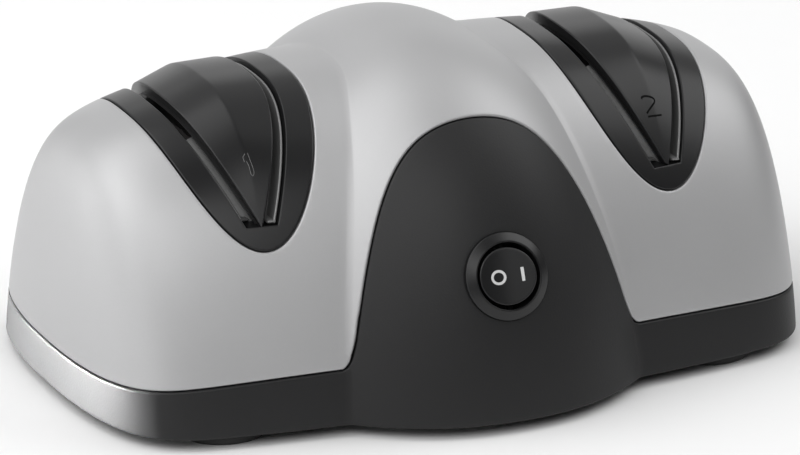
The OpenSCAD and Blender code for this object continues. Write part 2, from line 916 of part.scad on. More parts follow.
module cord_bush() {
    color([0.1, 0.1, 0.1])
        translate([0, bush_face, base_z + bush_height])
            rotate([-90, 0, 0])
                rotate_extrude() {
                    inner = -bush_pad - 2;
                    neck = bush_neck_d / 2;
                    polygon([[bush_bore / 2, inner], [neck + 0.9, inner], [neck + 1.4, -bush_pad],
                        [neck, -bush_pad], [neck, 0], [bush_flange_d / 2, 0], [bush_flange_d / 2, 1.6],
                        [bush_flange_d / 2 - 1, 2.6], [bush_bore / 2, 2.6]]);
                }
}

module foot(side, way) {
    color([0.15, 0.15, 0.15])
        translate([side * foot_x, way * foot_y, 0])
            rotate_extrude()
                polygon([[0, 0], [foot_d / 2 - 0.8, 0], [foot_d / 2, 0.8],
                    [foot_d / 2, base_z + foot_recess], [0, base_z + foot_recess]]);
}

module housing_screw(side, way) {
    head = 0.6 * screw_seat;
    color([0.7, 0.7, 0.7])
        translate([side * screw_x, way * screw_y, base_z + screw_seat])
            difference() {
                union() {
                    translate([0, 0, -head])
                        cylinder(d = screw_head_d, h = head);
                    cylinder(d = screw_d, h = screw_length);
                }
                translate([0, 0, -head])
                    for (turn = [0, 90])
                        rotate([0, 0, turn])
                            cube([screw_head_d - screw_d + 0.4, screw_d / 4, head], center = true);
            }
}

lower_housing();
upper_housing();
guide_insert(-1);  // guide_insert_1
guide_insert(1);  // guide_insert_2
spring_leaf(-1, 1);  // spring_leaf_1_outer
spring_leaf(-1, -1);  // spring_leaf_1_inner
spring_leaf(1, -1);  // spring_leaf_2_inner
spring_leaf(1, 1);  // spring_leaf_2_outer
switch_body();
switch_rocker();
switch_terminals();
motor_stator();
coil_bobbin();
coil_winding();
bearing_bracket(-1);  // bearing_bracket_1
bearing_bracket(1);  // bearing_bracket_2
bearing(-1);  // bearing_1
bearing(1);  // bearing_2
motor_shaft();
rotor_core();
cooling_fan();
wheel_hub(-1);  // wheel_hub_1
wheel_hub(1);  // wheel_hub_2
grinding_wheel(-1);  // grinding_wheel_1
grinding_wheel(1);  // grinding_wheel_2
cord_bush();
foot(-1, -1);  // foot_1
foot(1, -1);  // foot_2
foot(1, 1);  // foot_3
foot(-1, 1);  // foot_4
housing_screw(-1, -1);  // housing_screw_1
housing_screw(1, -1);  // housing_screw_2
housing_screw(1, 1);  // housing_screw_3
housing_screw(-1, 1);  // housing_screw_4
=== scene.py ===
import math
import bpy
import bmesh
import numpy as np
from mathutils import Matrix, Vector
from mathutils.geometry import tessellate_polygon


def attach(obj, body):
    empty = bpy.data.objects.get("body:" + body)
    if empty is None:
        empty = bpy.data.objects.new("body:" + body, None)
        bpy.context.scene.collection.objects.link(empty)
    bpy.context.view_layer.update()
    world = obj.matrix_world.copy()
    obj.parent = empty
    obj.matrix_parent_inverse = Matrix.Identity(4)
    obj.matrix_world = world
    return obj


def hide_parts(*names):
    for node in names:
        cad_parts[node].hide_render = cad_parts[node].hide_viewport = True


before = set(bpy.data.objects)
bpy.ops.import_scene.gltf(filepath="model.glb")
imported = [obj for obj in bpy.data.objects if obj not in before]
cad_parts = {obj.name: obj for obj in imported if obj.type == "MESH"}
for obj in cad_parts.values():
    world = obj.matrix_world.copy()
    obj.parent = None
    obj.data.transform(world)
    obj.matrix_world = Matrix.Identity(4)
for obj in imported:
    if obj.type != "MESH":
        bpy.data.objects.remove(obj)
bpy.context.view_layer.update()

MM = 0.001

# ---- Sizes in millimetres, as in the part's source ----
# Body, with stage 1 at -X, stage 2 at +X and the switch at -Y
BODY_LENGTH = 204.8
BODY_DEPTH = 127.4
BODY_TAPER = 11.2
BODY_TAPER_POWER = 1.8
BODY_HEIGHT = 79.6
CROWN_DROP = 15.8
CROWN_DROP_POWER = 2.9
CROWN_POWER = 2.67
FLANK_POWER = 1.27
CORNER_POWER = 16
CORNER_ROUND = 2.3
END_POWER = 24
END_ROUND = 1.7
END_CLOSURE = 0.9995
BASE_Z = 3.2
WALL = 2.5
SEAT_CLEARANCE = 0.3
HALF_LENGTH = BODY_LENGTH / 2
HALF_DEPTH = BODY_DEPTH / 2

# Bulge in the middle of the body
BULGE_WIDTH = 83.5
BULGE_LEAN = 16.4
BULGE_LEAN_POWER = 1.7
BULGE_TURN = 4
BULGE_TURN_POWER = 20
BULGE_OUT = 0.211
BULGE_UP = 0.08
BULGE_FALL_POWER = 3.2
BULGE_POWER = 2.4
BULGE_POWER_TOP = 2.0

# Seam between the two housings
SEAM_GAP = 0.3
ARCH_TOP = 72.8
ARCH_ROUND = 0.015
ARCH_SQUARE = 13
STRIP_HEIGHT = 14.6
STRIP_DROP = 3
STRIP_BLEND = 9

# Stages with their wedges and slots
STAGE_X = 58.1
STAGE_TIP = 44.85
STAGE_SPREAD = 16.4
WEDGE_RISE = 2.6
WEDGE_SHOULDER = math.radians(21.5)
WEDGE_START = 0.66
WEDGE_FULL = 0.96
SLOT_FOOT = 50.9
SLOT_FOOT_OFFSET = 2.95
SLOT_TILT = math.radians(24)
SLOT_DEPTH = 7
SLOT_OPENING = 32
TROUGH_WALL = 1.8

# Switch
SWITCH_HEIGHT = 36.8
SWITCH_PAD = 3
BEZEL_D = 23
BEZEL_RECESS = 2
BARREL_D = 20
BARREL_DEPTH = 15
ROCKER_OPENING = 17.4
ROCKER_D = 15
ROCKER_TRAVEL = math.radians(22)
PIVOT_DEPTH = 1.5
PIVOT_D = 2

# Floor of the lower housing, and what sits in it
FLOOR = 2.5
FOOT_D = 25
FOOT_RECESS = 0.8
FOOT_X = 70
FOOT_Y = 42.5
SCREW_X = 86
SCREW_Y = 25
SCREW_D = 3.2
SCREW_CLEARANCE = 0.2
SCREW_HEAD_D = 6.4
SCREW_SEAT = 4
POST_D = 9.5
POST_HEIGHT = 11
VENT_COUNT = 8
VENT_PITCH = 7
VENT_WIDTH = 3
VENT_LENGTH = 38
STACK_FRONT = 22
STACK_BACK = 41
STACK_LOW = 25.2
STACK_THICKNESS = 22
SADDLE_INSET = 3
SADDLE_WIDTH = 6
BUSH_HEIGHT = 12.5
BUSH_FLANGE_D = 15
BUSH_NECK_D = 10.2
BUSH_PAD = 4
BUSH_RECESS = 2

# ---- Sizes in millimetres that follow the photo where the source is simpler ----
# Sides of a slot, measured across it from the tilted line through its foot
SLOT_OUTER = 1.1
SLOT_INNER = -2.4
SLOT_FLOOR_DEPTH = 4.5
LEAF_THICKNESS = 0.75
LEAF_GAP = 0.2
LEAF_FOOT = 1.9
# Depth of a leaf below the skin, on a stage's +X side and on its -X side
LEAF_SET_BACK = {1: 0.5, -1: 3}
BEZEL_LIP = 1.7
BEZEL_EDGE = 0.1
ROCKER_RAISE = 2.7
ROCKER_DISH = 1.0
ROCKER_SMOOTH = 12
HOUSING_ROUNDING = 0.6
INSERT_ROUNDING = 0.35

# ---- Outer form ----
HALVINGS = 40
TABLE_SIZE = 6001
TABLE_OVERLAP = 0.2
SECTION_REACH = (0.3, 1.5)
CREASE_SOFTNESS = 0.02
WEDGE_SOFTNESS = 0.3


def section_table():
    """How far the rounded section reaches in each direction, next to a circle of radius 1."""
    angles = np.linspace(-TABLE_OVERLAP, math.pi + TABLE_OVERLAP, TABLE_SIZE)
    low, high = (np.full_like(angles, reach) for reach in SECTION_REACH)
    for _ in range(HALVINGS):
        middle = (low + high) / 2
        outside = ((middle * abs(np.cos(angles))) ** CROWN_POWER
                   + (middle * abs(np.sin(angles))) ** FLANK_POWER - 1 > 0)
        low, high = np.where(outside, low, middle), np.where(outside, middle, high)
    return angles, (low + high) / 2


TABLE_ANGLES, TABLE_SCALES = section_table()


def section_scale(a):
    return np.interp(a, TABLE_ANGLES, TABLE_SCALES)


def crease_x(u):
    """Half of the bulge's width at a share u of the height."""
    return BULGE_WIDTH / 2 - BULGE_LEAN * u ** BULGE_LEAN_POWER - BULGE_TURN * u ** BULGE_TURN_POWER


def swell(x, u):
    """How much the bulge widens the section at x and at a share u of the height."""
    power = BULGE_POWER + (BULGE_POWER_TOP - BULGE_POWER) * u
    inner = 1 - (abs(x) / crease_x(u)) ** power
    inner = (inner + np.sqrt(inner ** 2 + CREASE_SOFTNESS ** 2)) / 2
    return (BULGE_OUT - (BULGE_OUT - BULGE_UP) * u ** BULGE_FALL_POWER) * inner


def smooth_step(t):
    t = np.clip(t, 0, 1)
    return t * t * (3 - 2 * t)


def crown_height(t, inset=0.0):
    """Height over the base at a share t of the half length."""
    height = BODY_HEIGHT - CROWN_DROP * t ** CROWN_DROP_POWER - inset
    return height * (1 - t ** END_POWER) ** (1 / END_ROUND)


def wedge_height(x):
    ridge = crown_height(STAGE_X / HALF_LENGTH) + WEDGE_RISE
    over = abs(x) - STAGE_X
    soft = (over + np.sqrt(over ** 2 + WEDGE_SOFTNESS ** 2)) / 2
    return ridge - soft * math.tan(WEDGE_SHOULDER)


def skin(x, a, inset=0.0, wedge=0.0):
    """Points of the skin, drawn in by inset, and raised to a wedge if its share is 1."""
    t = np.minimum(1, abs(x) / (HALF_LENGTH - inset))
    depth = (HALF_DEPTH - BODY_TAPER * t ** BODY_TAPER_POWER - inset) * (
        1 - t ** CORNER_POWER) ** (1 / CORNER_ROUND)
    height = crown_height(t, inset)
    k = section_scale(a)
    u = np.clip(k * np.sin(a), 0, 1)
    k = k * (1 + swell(x, u))
    rise = wedge * smooth_step((u - WEDGE_START) / (WEDGE_FULL - WEDGE_START))
    height = height + rise * (wedge_height(x) - height)
    return np.stack([x + 0 * a, -depth * k * np.cos(a), BASE_Z + height * k * np.sin(a)], -1)


def front_angle(x, z, wedge=0.0):
    """The angle at which the front of the skin is at height z."""
    x, z = np.broadcast_arrays(np.asarray(x, float), np.asarray(z, float))
    low, high = np.zeros(x.shape), np.full(x.shape, math.pi / 2)
    for _ in range(HALVINGS):
        middle = (low + high) / 2
        under = skin(x, middle, 0.0, wedge)[..., 2] < z
        low, high = np.where(under, middle, low), np.where(under, high, middle)
    return (low + high) / 2


def front_y(x, z):
    return skin(np.asarray(x, float), front_angle(x, z))[..., 1]


# ---- Places of the switch and the bush ----
UPWARD = np.array([0, 0, 1.0])
REARWARD = np.array([0, 1.0, 0])
BUSH_Z = BASE_Z + BUSH_HEIGHT
BUSH_AT = np.array([0, -float(front_y(0.0, BUSH_Z)) - BUSH_RECESS, BUSH_Z])

switch_z = BASE_Z + SWITCH_HEIGHT
panel_rise = float(front_y(0.0, switch_z + BEZEL_D / 2) - front_y(0.0, switch_z - BEZEL_D / 2))
panel_lean = math.atan2(panel_rise, BEZEL_D)
SWITCH_AT = np.array([0, float(front_y(0.0, switch_z)), switch_z])
SWITCH_OUT = np.array([0, -math.cos(panel_lean), math.sin(panel_lean)])
SWITCH_UP = np.array([0, math.sin(panel_lean), math.cos(panel_lean)])

# ---- Cutting lines, as distances that are positive on the side that is kept ----
FAR = 99.0


def seam_z(x):
    """Height of the seam: an arch in the middle that blends into the strip along the base."""
    arch = ARCH_TOP - ARCH_ROUND * x ** 2 - ARCH_SQUARE * (x / 10) ** 4 / 100
    strip = STRIP_HEIGHT - STRIP_DROP * (abs(x) / HALF_LENGTH) ** 3
    near = np.maximum(STRIP_BLEND - abs(arch - strip), 0)
    return BASE_Z + np.maximum(arch, strip) + near ** 2 / (4 * STRIP_BLEND)


def over_seam(p, step=0.1):
    slope = (seam_z(p[..., 0] + step) - seam_z(p[..., 0] - step)) / (2 * step)
    return (p[..., 2] - seam_z(p[..., 0])) / np.hypot(1, slope)


def in_stage(p, side):
    """Distance to the U-shaped opening of a stage, positive within it."""
    s = side * p[..., 0] - STAGE_X
    over = p[..., 2] - BASE_Z - STAGE_TIP - s ** 2 / STAGE_SPREAD
    return over / np.hypot(1, 2 * s / STAGE_SPREAD)


def slot_frame(p, side, way):
    """Across and up a slot, from its foot."""
    tilt = way * SLOT_TILT
    x = side * p[..., 0] - STAGE_X - way * SLOT_FOOT_OFFSET
    z = p[..., 2] - BASE_Z - SLOT_FOOT
    return x * math.cos(tilt) - z * math.sin(tilt), x * math.sin(tilt) + z * math.cos(tilt)


def off_slot(p, side, way):
    """Distance to a slot whose lower end is level."""
    across, _ = slot_frame(p, side, way)
    qx = abs(way * across - (SLOT_OUTER + SLOT_INNER) / 2) - (SLOT_OUTER - SLOT_INNER) / 2
    qz = BASE_Z + SLOT_FOOT - p[..., 2]
    return np.hypot(np.maximum(qx, 0), np.maximum(qz, 0)) + np.minimum(np.maximum(qx, qz), 0)


def off_switch(p, radius):
    q = p - SWITCH_AT
    along = (q * SWITCH_OUT).sum(-1)
    away = np.sqrt(np.maximum((q ** 2).sum(-1) - along ** 2, 0)) - radius
    return np.where(p[..., 1] < 0, away, FAR)


def off_bush(p, radius):
    away = np.hypot(p[..., 0], p[..., 2] - BUSH_Z) - radius
    return np.where(p[..., 1] > 0, away, FAR)


# ---- Places in a slot ----
SECTION_ANGLES = np.radians(np.linspace(12, 168, 313))
CURVE_PASSES = 8


def slot_place(side, way, across, y, up):
    """Points in space from the slot's own frame."""
    tilt = way * SLOT_TILT
    x = way * SLOT_FOOT_OFFSET + across * math.cos(tilt) + up * math.sin(tilt)
    z = BASE_Z + SLOT_FOOT - across * math.sin(tilt) + up * math.cos(tilt)
    return np.stack(np.broadcast_arrays(side * (STAGE_X + x), y, z), -1)


def slot_curve(way, inset):
    """Where a slot's middle plane meets the skin drawn in by inset: y, and how far up the slot."""
    up = np.full_like(SECTION_ANGLES, BODY_HEIGHT - SLOT_FOOT)
    for _ in range(CURVE_PASSES):
        x = STAGE_X + way * (SLOT_FOOT_OFFSET + up * math.sin(SLOT_TILT))
        p = skin(x, SECTION_ANGLES, inset)
        up = (p[..., 2] - BASE_Z - SLOT_FOOT) / math.cos(SLOT_TILT)
    return p[..., 1], up


# ---- Building blocks ----
WELD_DISTANCE = 2e-6
SLIVER_LENGTH = 1e-6
MIN_SLOPE = 0.25
MIN_FALL = 0.35
MIN_WALL = 0.1


def weld_mesh(mesh):
    bm = bmesh.new()
    bm.from_mesh(mesh)
    bmesh.ops.remove_doubles(bm, verts=bm.verts, dist=WELD_DISTANCE)
    bmesh.ops.dissolve_degenerate(bm, edges=bm.edges, dist=SLIVER_LENGTH)
    bmesh.ops.recalc_face_normals(bm, faces=bm.faces)
    bm.to_mesh(mesh)
    bm.free()


def finish_mesh(name, verts, faces, body, material, slot, replaces=(), sharp=35, weld=True):
    """Makes one visible piece from points in millimetres, riding on a body."""
    mesh = bpy.data.meshes.new(name)
    mesh.from_pydata([tuple(v) for v in np.asarray(verts) * MM], [], faces)
    if weld:
        weld_mesh(mesh)
    mesh.validate()
    mesh.polygons.foreach_set("use_smooth", [True] * len(mesh.polygons))
    mesh.set_sharp_from_angle(angle=math.radians(sharp))
    mesh.materials.append(material)
    piece = bpy.data.objects.new(name, mesh)
    bpy.context.scene.collection.objects.link(piece)
    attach(piece, body)
    if replaces:
        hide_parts(*replaces)
    return piece


def unit(v):
    return v / np.maximum(np.linalg.norm(v, axis=-1, keepdims=True), 1e-9)


def dot(a, b):
    return (a * b).sum(-1, keepdims=True)


def normals_of(p):
    return unit(np.cross(np.gradient(p, axis=0), np.gradient(p, axis=1)))


def edge_distance(p, n, field, h=1e-3):
    """Distance over the surface to a cutting line, the way to it, and the way down its wall."""
    slope = np.stack([(field(p + e) - field(p - e)) / (2 * h) for e in np.eye(3) * h], -1)
    wall = unit(slope)
    fall = unit(-n + dot(n, wall) * wall)
    slope = slope - dot(slope, n) * n
    size = np.clip(np.linalg.norm(slope, axis=-1), MIN_SLOPE, 1.0)
    return field(p) / size, -slope / size[..., None], fall


def nearest_line(p, n, fields, depths):
    """What edge_distance gives for the nearest cutting line, with the line's number and depth."""
    lines = [edge_distance(p, n, field) for field in fields]
    distances = np.stack([line[0] for line in lines])
    pick = distances.argmin(0)

    def picked(k):
        return np.take_along_axis(np.stack([line[k] for line in lines]), pick[None, ..., None], 0)[0]

    return distances.min(0), picked(1), picked(2), pick, np.array(depths, float)[pick]


def trim(p, n, inner, fields, depths, round_r):
    """Keeps the part of a grid that lies round_r or more inside its cutting lines.

    Returns the outer and the inner points, the outer faces, the edges along the cut, and for each
    point on the cut its place, normal, way to the line, way down its wall and depth of the wall.
    """
    d, toward, fall, pick, depth = nearest_line(p, n, fields, depths)
    keep = d >= round_r
    number = np.full(d.shape, -1)
    number[keep] = np.arange(keep.sum())
    outer, under, rim, made = [*p[keep]], [*inner[keep]], [], {}

    def between(grid, a, b, t):
        return grid[a] + (grid[b] - grid[a]) * t

    def crossing(a, b):
        """The point of the cut between two neighbours of the grid."""
        if (a, b) not in made:
            t = (round_r - d[a]) / (d[b] - d[a])
            solid = a if keep[a] else b
            mix = t if pick[a] == pick[b] else float(solid == b)
            made[a, b] = len(outer)
            outer.append(between(p, a, b, t))
            under.append(between(inner, a, b, t))
            rim.append((outer[-1], between(n, a, b, t), between(toward, a, b, mix),
                        between(fall, a, b, mix), depth[solid]))
        return made[a, b]

    def cell_outline(i, j):
        """The kept part of a cell, and which of its points are on the cut."""
        ring = [(i, j), (i + 1, j), (i + 1, j + 1), (i, j + 1)]
        outline, cut = [], []
        for a, b in zip(ring, ring[1:] + ring[:1]):
            if keep[a]:
                outline.append(int(number[a]))
                cut.append(False)
            if keep[a] != keep[b]:
                outline.append(crossing(*sorted((a, b))))
                cut.append(True)
        return outline, cut

    full = keep[:-1, :-1] & keep[1:, :-1] & keep[1:, 1:] & keep[:-1, 1:]
    some = keep[:-1, :-1] | keep[1:, :-1] | keep[1:, 1:] | keep[:-1, 1:]
    i, j = np.nonzero(full)
    faces = np.stack([number[i, j], number[i + 1, j], number[i + 1, j + 1], number[i, j + 1]], -1)
    faces, borders = faces.tolist(), []
    for i, j in zip(*np.nonzero(some & ~full)):
        outline, cut = cell_outline(i, j)
        faces.append(outline)
        ahead = list(range(1, len(outline))) + [0]
        borders += [(outline[k], outline[m]) for k, m in enumerate(ahead) if cut[k] and cut[m]]
    return outer, under, faces, borders, rim


def rim_rings(rim, round_r, steps):
    """Rings of points from the cut round into its wall, and one at the foot of the wall."""
    at, normal, toward, fall = (np.array([r[k] for r in rim]) for k in range(4))
    normal = unit(normal)
    toward = unit(toward - dot(toward, normal) * normal)
    fall = unit(fall)
    rings = []
    for k in range(1, steps + 1):
        phi = math.pi / 2 * k / steps
        rings.append(at + toward * round_r * math.sin(phi) - normal * round_r * (1 - math.cos(phi)))
    length = np.array([r[4] for r in rim]) / np.maximum(-(fall * normal).sum(-1), MIN_FALL)
    wall = np.maximum(length - round_r, MIN_WALL)[:, None]
    rings.append(at + (toward - normal) * round_r + fall * wall)
    return np.concatenate(rings)


def shell(name, grid, fields, round_r, body, material, slot, replaces, deep=None, steps=5):
    """A trimmed sheet with rounded edges and a wall: the grid has outer points, their normals and
    inner points, each field is one cutting line, and deep says how far each line's wall goes down."""
    outer, under, faces, borders, rim = trim(*grid, fields, deep or [WALL] * len(fields), round_r)
    rings = rim_rings(rim, round_r, steps)
    base = len(outer)
    first = base - len(rim)
    under_first = base + len(rings)

    def ring_id(v, k):
        return v if k == 0 else base + (k - 1) * len(rim) + v - first

    inner_faces = [[under_first + v for v in reversed(face)] for face in faces]
    for a, b in borders:
        for k in range(steps + 1):
            faces.append([ring_id(b, k), ring_id(a, k), ring_id(a, k + 1), ring_id(b, k + 1)])
        faces.append([ring_id(b, steps + 1), ring_id(a, steps + 1), under_first + a, under_first + b])
    verts = np.concatenate([outer, rings, under])
    return finish_mesh(name, verts, faces + inner_faces, body, material, slot, replaces)


def lathe(profile, centre, out, up, segments=128):
    """Revolves a closed outline of (radius, height) points about the axis out through centre."""
    side = np.cross(up, out)
    turn = np.linspace(0, 2 * math.pi, segments, endpoint=False)[:, None, None]
    around = np.cos(turn) * side + np.sin(turn) * up
    profile = np.array(profile, float)
    rings = centre + around * profile[None, :, :1] + profile[None, :, 1:] * out
    count = len(profile)
    k, m = np.meshgrid(np.arange(segments), np.arange(count), indexing="ij")
    k2, m2 = (k + 1) % segments, (m + 1) % count
    faces = np.stack([k * count + m, k * count + m2, k2 * count + m2, k2 * count + m], -1).reshape(-1, 4)
    return rings.reshape(-1, 3), faces.tolist()


def sweep(rings):
    """A closed tube through rings of points, with its two ends capped."""
    rings = np.asarray(rings)
    rows, count, _ = rings.shape
    i, j = np.meshgrid(np.arange(rows - 1), np.arange(count), indexing="ij")
    j2 = (j + 1) % count
    faces = np.stack([i * count + j, i * count + j2, (i + 1) * count + j2, (i + 1) * count + j], -1)
    faces = faces.reshape(-1, 4).tolist()
    faces += [list(range(count))[::-1], [(rows - 1) * count + j for j in range(count)]]
    return rings.reshape(-1, 3), faces


def merge(*parts):
    verts, faces, first = [], [], 0
    for v, f in parts:
        verts.append(np.asarray(v, float))
        faces += [[first + k for k in face] for face in f]
        first += len(v)
    return np.concatenate(verts), faces


def circle_outline(x, y, r, count=64):
    t = np.linspace(0, 2 * math.pi, count, endpoint=False)
    return np.stack([x + r * np.cos(t), y + r * np.sin(t)], -1)


def offset_outline(outline, by):
    """Moves an outline to its left by a distance."""
    ahead = np.roll(outline, -1, 0) - np.roll(outline, 1, 0)
    left = np.stack([-ahead[:, 1], ahead[:, 0]], -1)
    return outline + by * left / np.maximum(np.linalg.norm(left, axis=-1, keepdims=True), 1e-9)


def turned_outline(outline, anticlockwise):
    ahead = np.roll(outline, -1, 0)
    area = (outline[:, 0] * ahead[:, 1] - ahead[:, 0] * outline[:, 1]).sum()
    return outline if (area > 0) == anticlockwise else outline[::-1]


def plate(outlines, low, high, chamfer=0.25):
    """A flat plate with chamfered edges from an outer outline and its holes."""
    verts, faces, first, rims = [], [], 0, []
    for k, outline in enumerate(outlines):
        outline = turned_outline(outline, k == 0)
        count = len(outline)
        drawn = offset_outline(outline, chamfer)
        for ring, z in ((drawn, low), (outline, low + chamfer), (outline, high - chamfer), (drawn, high)):
            verts.append(np.column_stack([ring, np.full(count, z)]))
        for level in range(3):
            a = first + level * count + np.arange(count)
            b = first + level * count + (np.arange(count) + 1) % count
            faces += np.stack([a, b, b + count, a + count], -1).tolist()
        rims.append((first, count, drawn))
        first += 4 * count
    index = np.concatenate([np.arange(f, f + c) for f, c, _ in rims])
    top_index = np.concatenate([np.arange(f + 3 * c, f + 4 * c) for f, c, _ in rims])
    triangles = tessellate_polygon([[Vector((x, y, 0)) for x, y in drawn] for _, _, drawn in rims])
    faces += [[int(index[k]) for k in t] for t in triangles]
    faces += [[int(top_index[k]) for k in reversed(t)] for t in triangles]
    return np.concatenate(verts), faces


def box(low, high, chamfer=0.3):
    (x0, y0, z0), (x1, y1, z1) = low, high
    return plate([np.array([(x0, y0), (x1, y0), (x1, y1), (x0, y1)], float)], z0, z1, chamfer)


# ---- Materials ----
CLOUD_SCALE = 45
GRAIN_HEIGHT = 0.05


def noise_node(nodes, links, coord, scale, detail):
    node = nodes.new("ShaderNodeTexNoise")
    node.inputs["Scale"].default_value = scale
    node.inputs["Detail"].default_value = detail
    links.new(coord.outputs["Object"], node.inputs["Vector"])
    return node


def average_node(nodes, links, textures):
    blend = nodes.new("ShaderNodeMath")
    blend.operation = "ADD"
    for k, texture in enumerate(textures):
        half = nodes.new("ShaderNodeMath")
        half.operation = "MULTIPLY"
        half.inputs[1].default_value = 0.5
        links.new(texture.outputs["Fac"], half.inputs[0])
        links.new(half.outputs[0], blend.inputs[k])
    return blend


def add_grain(nodes, links, shader, fine, strength):
    bump = nodes.new("ShaderNodeBump")
    bump.inputs["Strength"].default_value = strength
    bump.inputs["Distance"].default_value = GRAIN_HEIGHT * MM
    links.new(fine.outputs["Fac"], bump.inputs["Height"])
    links.new(bump.outputs["Normal"], shader.inputs["Normal"])


def plastic(name, colour, rough, grain=0.0, grain_size=0.35, metallic=0.0, mottle=0.04, rough_vary=0.06,
            shine=0.5):
    """A moulded, lacquered or metal surface: fine grain in the bump, slight cloudiness in colour and
    gloss. The grain's size is in millimetres."""
    mat = bpy.data.materials.new(name)
    mat.use_nodes = True
    nodes, links = mat.node_tree.nodes, mat.node_tree.links
    shader = nodes["Principled BSDF"]
    coord = nodes.new("ShaderNodeTexCoord")
    fine = noise_node(nodes, links, coord, 1 / (grain_size * MM), 3)
    cloud = noise_node(nodes, links, coord, CLOUD_SCALE, 4)
    blend = average_node(nodes, links, (fine, cloud))
    tone = nodes.new("ShaderNodeMix")
    tone.data_type = "RGBA"
    tone.inputs["A"].default_value = (*[c * (1 - mottle) for c in colour], 1)
    tone.inputs["B"].default_value = (*[min(1, c * (1 + mottle)) for c in colour], 1)
    links.new(blend.outputs[0], tone.inputs["Factor"])
    links.new(tone.outputs["Result"], shader.inputs["Base Color"])
    gloss = nodes.new("ShaderNodeMapRange")
    gloss.inputs["To Min"].default_value = rough - rough_vary
    gloss.inputs["To Max"].default_value = rough + rough_vary
    links.new(blend.outputs[0], gloss.inputs["Value"])
    links.new(gloss.outputs["Result"], shader.inputs["Roughness"])
    shader.inputs["Metallic"].default_value = metallic
    shader.inputs["Specular IOR Level"].default_value = shine
    if grain:
        add_grain(nodes, links, shader, fine, grain)
    return mat


silver = plastic("silver_lacquer", (0.46, 0.46, 0.465), 0.5, grain=0.35, grain_size=0.5, metallic=0.55,
                 mottle=0.05)
black_housing = plastic("black_grained", (0.012, 0.012, 0.0125), 0.48, grain=0.6, grain_size=0.55,
                        mottle=0.12, shine=0.35)
black_insert = plastic("black_satin", (0.01, 0.01, 0.0105), 0.3, grain=0.15, grain_size=0.4, mottle=0.1,
                       shine=0.35)
switch_black = plastic("black_smooth", (0.008, 0.008, 0.0085), 0.33, grain=0.08, grain_size=0.4,
                       mottle=0.1, shine=0.4)
steel = plastic("spring_strip", (0.22, 0.22, 0.22), 0.45, grain=0.1, grain_size=0.3, metallic=0.7,
                mottle=0.1)
brass = plastic("terminal_brass", (0.72, 0.56, 0.28), 0.3, metallic=1.0)
lamination = plastic("lamination_steel", (0.3, 0.3, 0.31), 0.45, grain=0.2, metallic=1.0)
nylon = plastic("natural_nylon", (0.78, 0.76, 0.68), 0.5, grain=0.1)
copper = plastic("enamelled_wire", (0.62, 0.27, 0.1), 0.3, grain=0.4, grain_size=0.6, metallic=0.9)
casting = plastic("die_casting", (0.55, 0.55, 0.57), 0.5, grain=0.4, metallic=1.0)
bronze = plastic("sintered_bronze", (0.5, 0.35, 0.18), 0.5, grain=0.3, metallic=1.0)
ground_steel = plastic("ground_steel", (0.65, 0.65, 0.66), 0.22, grain=0.05, metallic=1.0)
hub_plastic = plastic("hub_nylon", (0.08, 0.08, 0.085), 0.5, grain=0.2)
abrasive = plastic("bonded_abrasive", (0.06, 0.055, 0.055), 0.9, grain=1.0, grain_size=0.25, mottle=0.3)
# Near-black: the rocker pins' own colour, and on the stage 2 numeral painted shade that stands for an
# engraved groove
pin_black_and_painted_groove_shade = plastic("pin_black_and_painted_groove_shade", (0.002, 0.002, 0.002), 0.7, grain=0.2, mottle=0.1, shine=0.1)
# Lighter grey on the slot floors: painted light that stands in for the light reaching the floors down in
# the slots; the mottle is random tone
slot_floor_painted_light = plastic("painted_light_slot_floor", (0.13, 0.13, 0.13), 0.45, grain=0.8, grain_size=0.9, mottle=0.6)
rubber = plastic("moulded_rubber", (0.03, 0.03, 0.03), 0.8, grain=0.5, grain_size=0.5, mottle=0.15)
zinc = plastic("zinc_plated", (0.6, 0.6, 0.58), 0.35, grain=0.15, metallic=1.0)
mark_white = plastic("printed_white", (0.6, 0.6, 0.6), 0.5, grain=0.1, mottle=0.03)
# Lighter grey strokes on the stage 1 numeral: a painted highlight that stands in for light catching the
# raised numeral's edges
numeral_painted_highlight = plastic("numeral_painted_highlight", (0.12, 0.12, 0.12), 0.4, grain=0.2, mottle=0.3)

NODE_LOOKS = (
    (silver, ["upper_housing"]),
    (black_housing, ["lower_housing"]),
    (black_insert, ["guide_insert_1", "guide_insert_2"]),
    (switch_black, ["switch_body", "switch_rocker"]),
    (steel, ["spring_leaf_1_outer", "spring_leaf_1_inner", "spring_leaf_2_inner", "spring_leaf_2_outer"]),
    (brass, ["switch_terminals"]),
    (lamination, ["motor_stator", "rotor_core"]),
    (nylon, ["coil_bobbin", "cooling_fan"]),
    (copper, ["coil_winding"]),
    (casting, ["bearing_bracket_1", "bearing_bracket_2"]),
    (bronze, ["bearing_1", "bearing_2"]),
    (ground_steel, ["motor_shaft"]),
    (hub_plastic, ["wheel_hub_1", "wheel_hub_2"]),
    (abrasive, ["grinding_wheel_1", "grinding_wheel_2"]),
    (rubber, ["cord_bush", "foot_1", "foot_2", "foot_3", "foot_4"]),
    (zinc, ["housing_screw_1", "housing_screw_2", "housing_screw_3", "housing_screw_4"]),
)
for look, node_names in NODE_LOOKS:
    for node_name in node_names:
        node_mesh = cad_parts[node_name].data
        node_mesh.materials.clear()
        node_mesh.materials.append(look)

# ---- Housings ----
WING_CROWDING = 2.6
CAP_SHARES = (0.66, 0.33, 0.0)


def body_rows(inset, bulge_steps=48, wing_steps=96, section_steps=230):
    """Rows of points across the body from end to end, which follow the creases of the bulge."""
    a = np.linspace(0, math.pi, section_steps + 1)
    edge = crease_x(np.clip(section_scale(a) * np.sin(a), 0, 1))
    reach = (HALF_LENGTH - inset) * END_CLOSURE
    half = [edge * k / bulge_steps for k in range(bulge_steps + 1)]
    for k in range(1, wing_steps + 1):
        half.append(edge + (reach - edge) * (1 - (1 - k / wing_steps) ** WING_CROWDING))
    xs = np.stack([-h for h in reversed(half[1:])] + half)
    return skin(xs, a[None, :] + 0 * xs, inset)


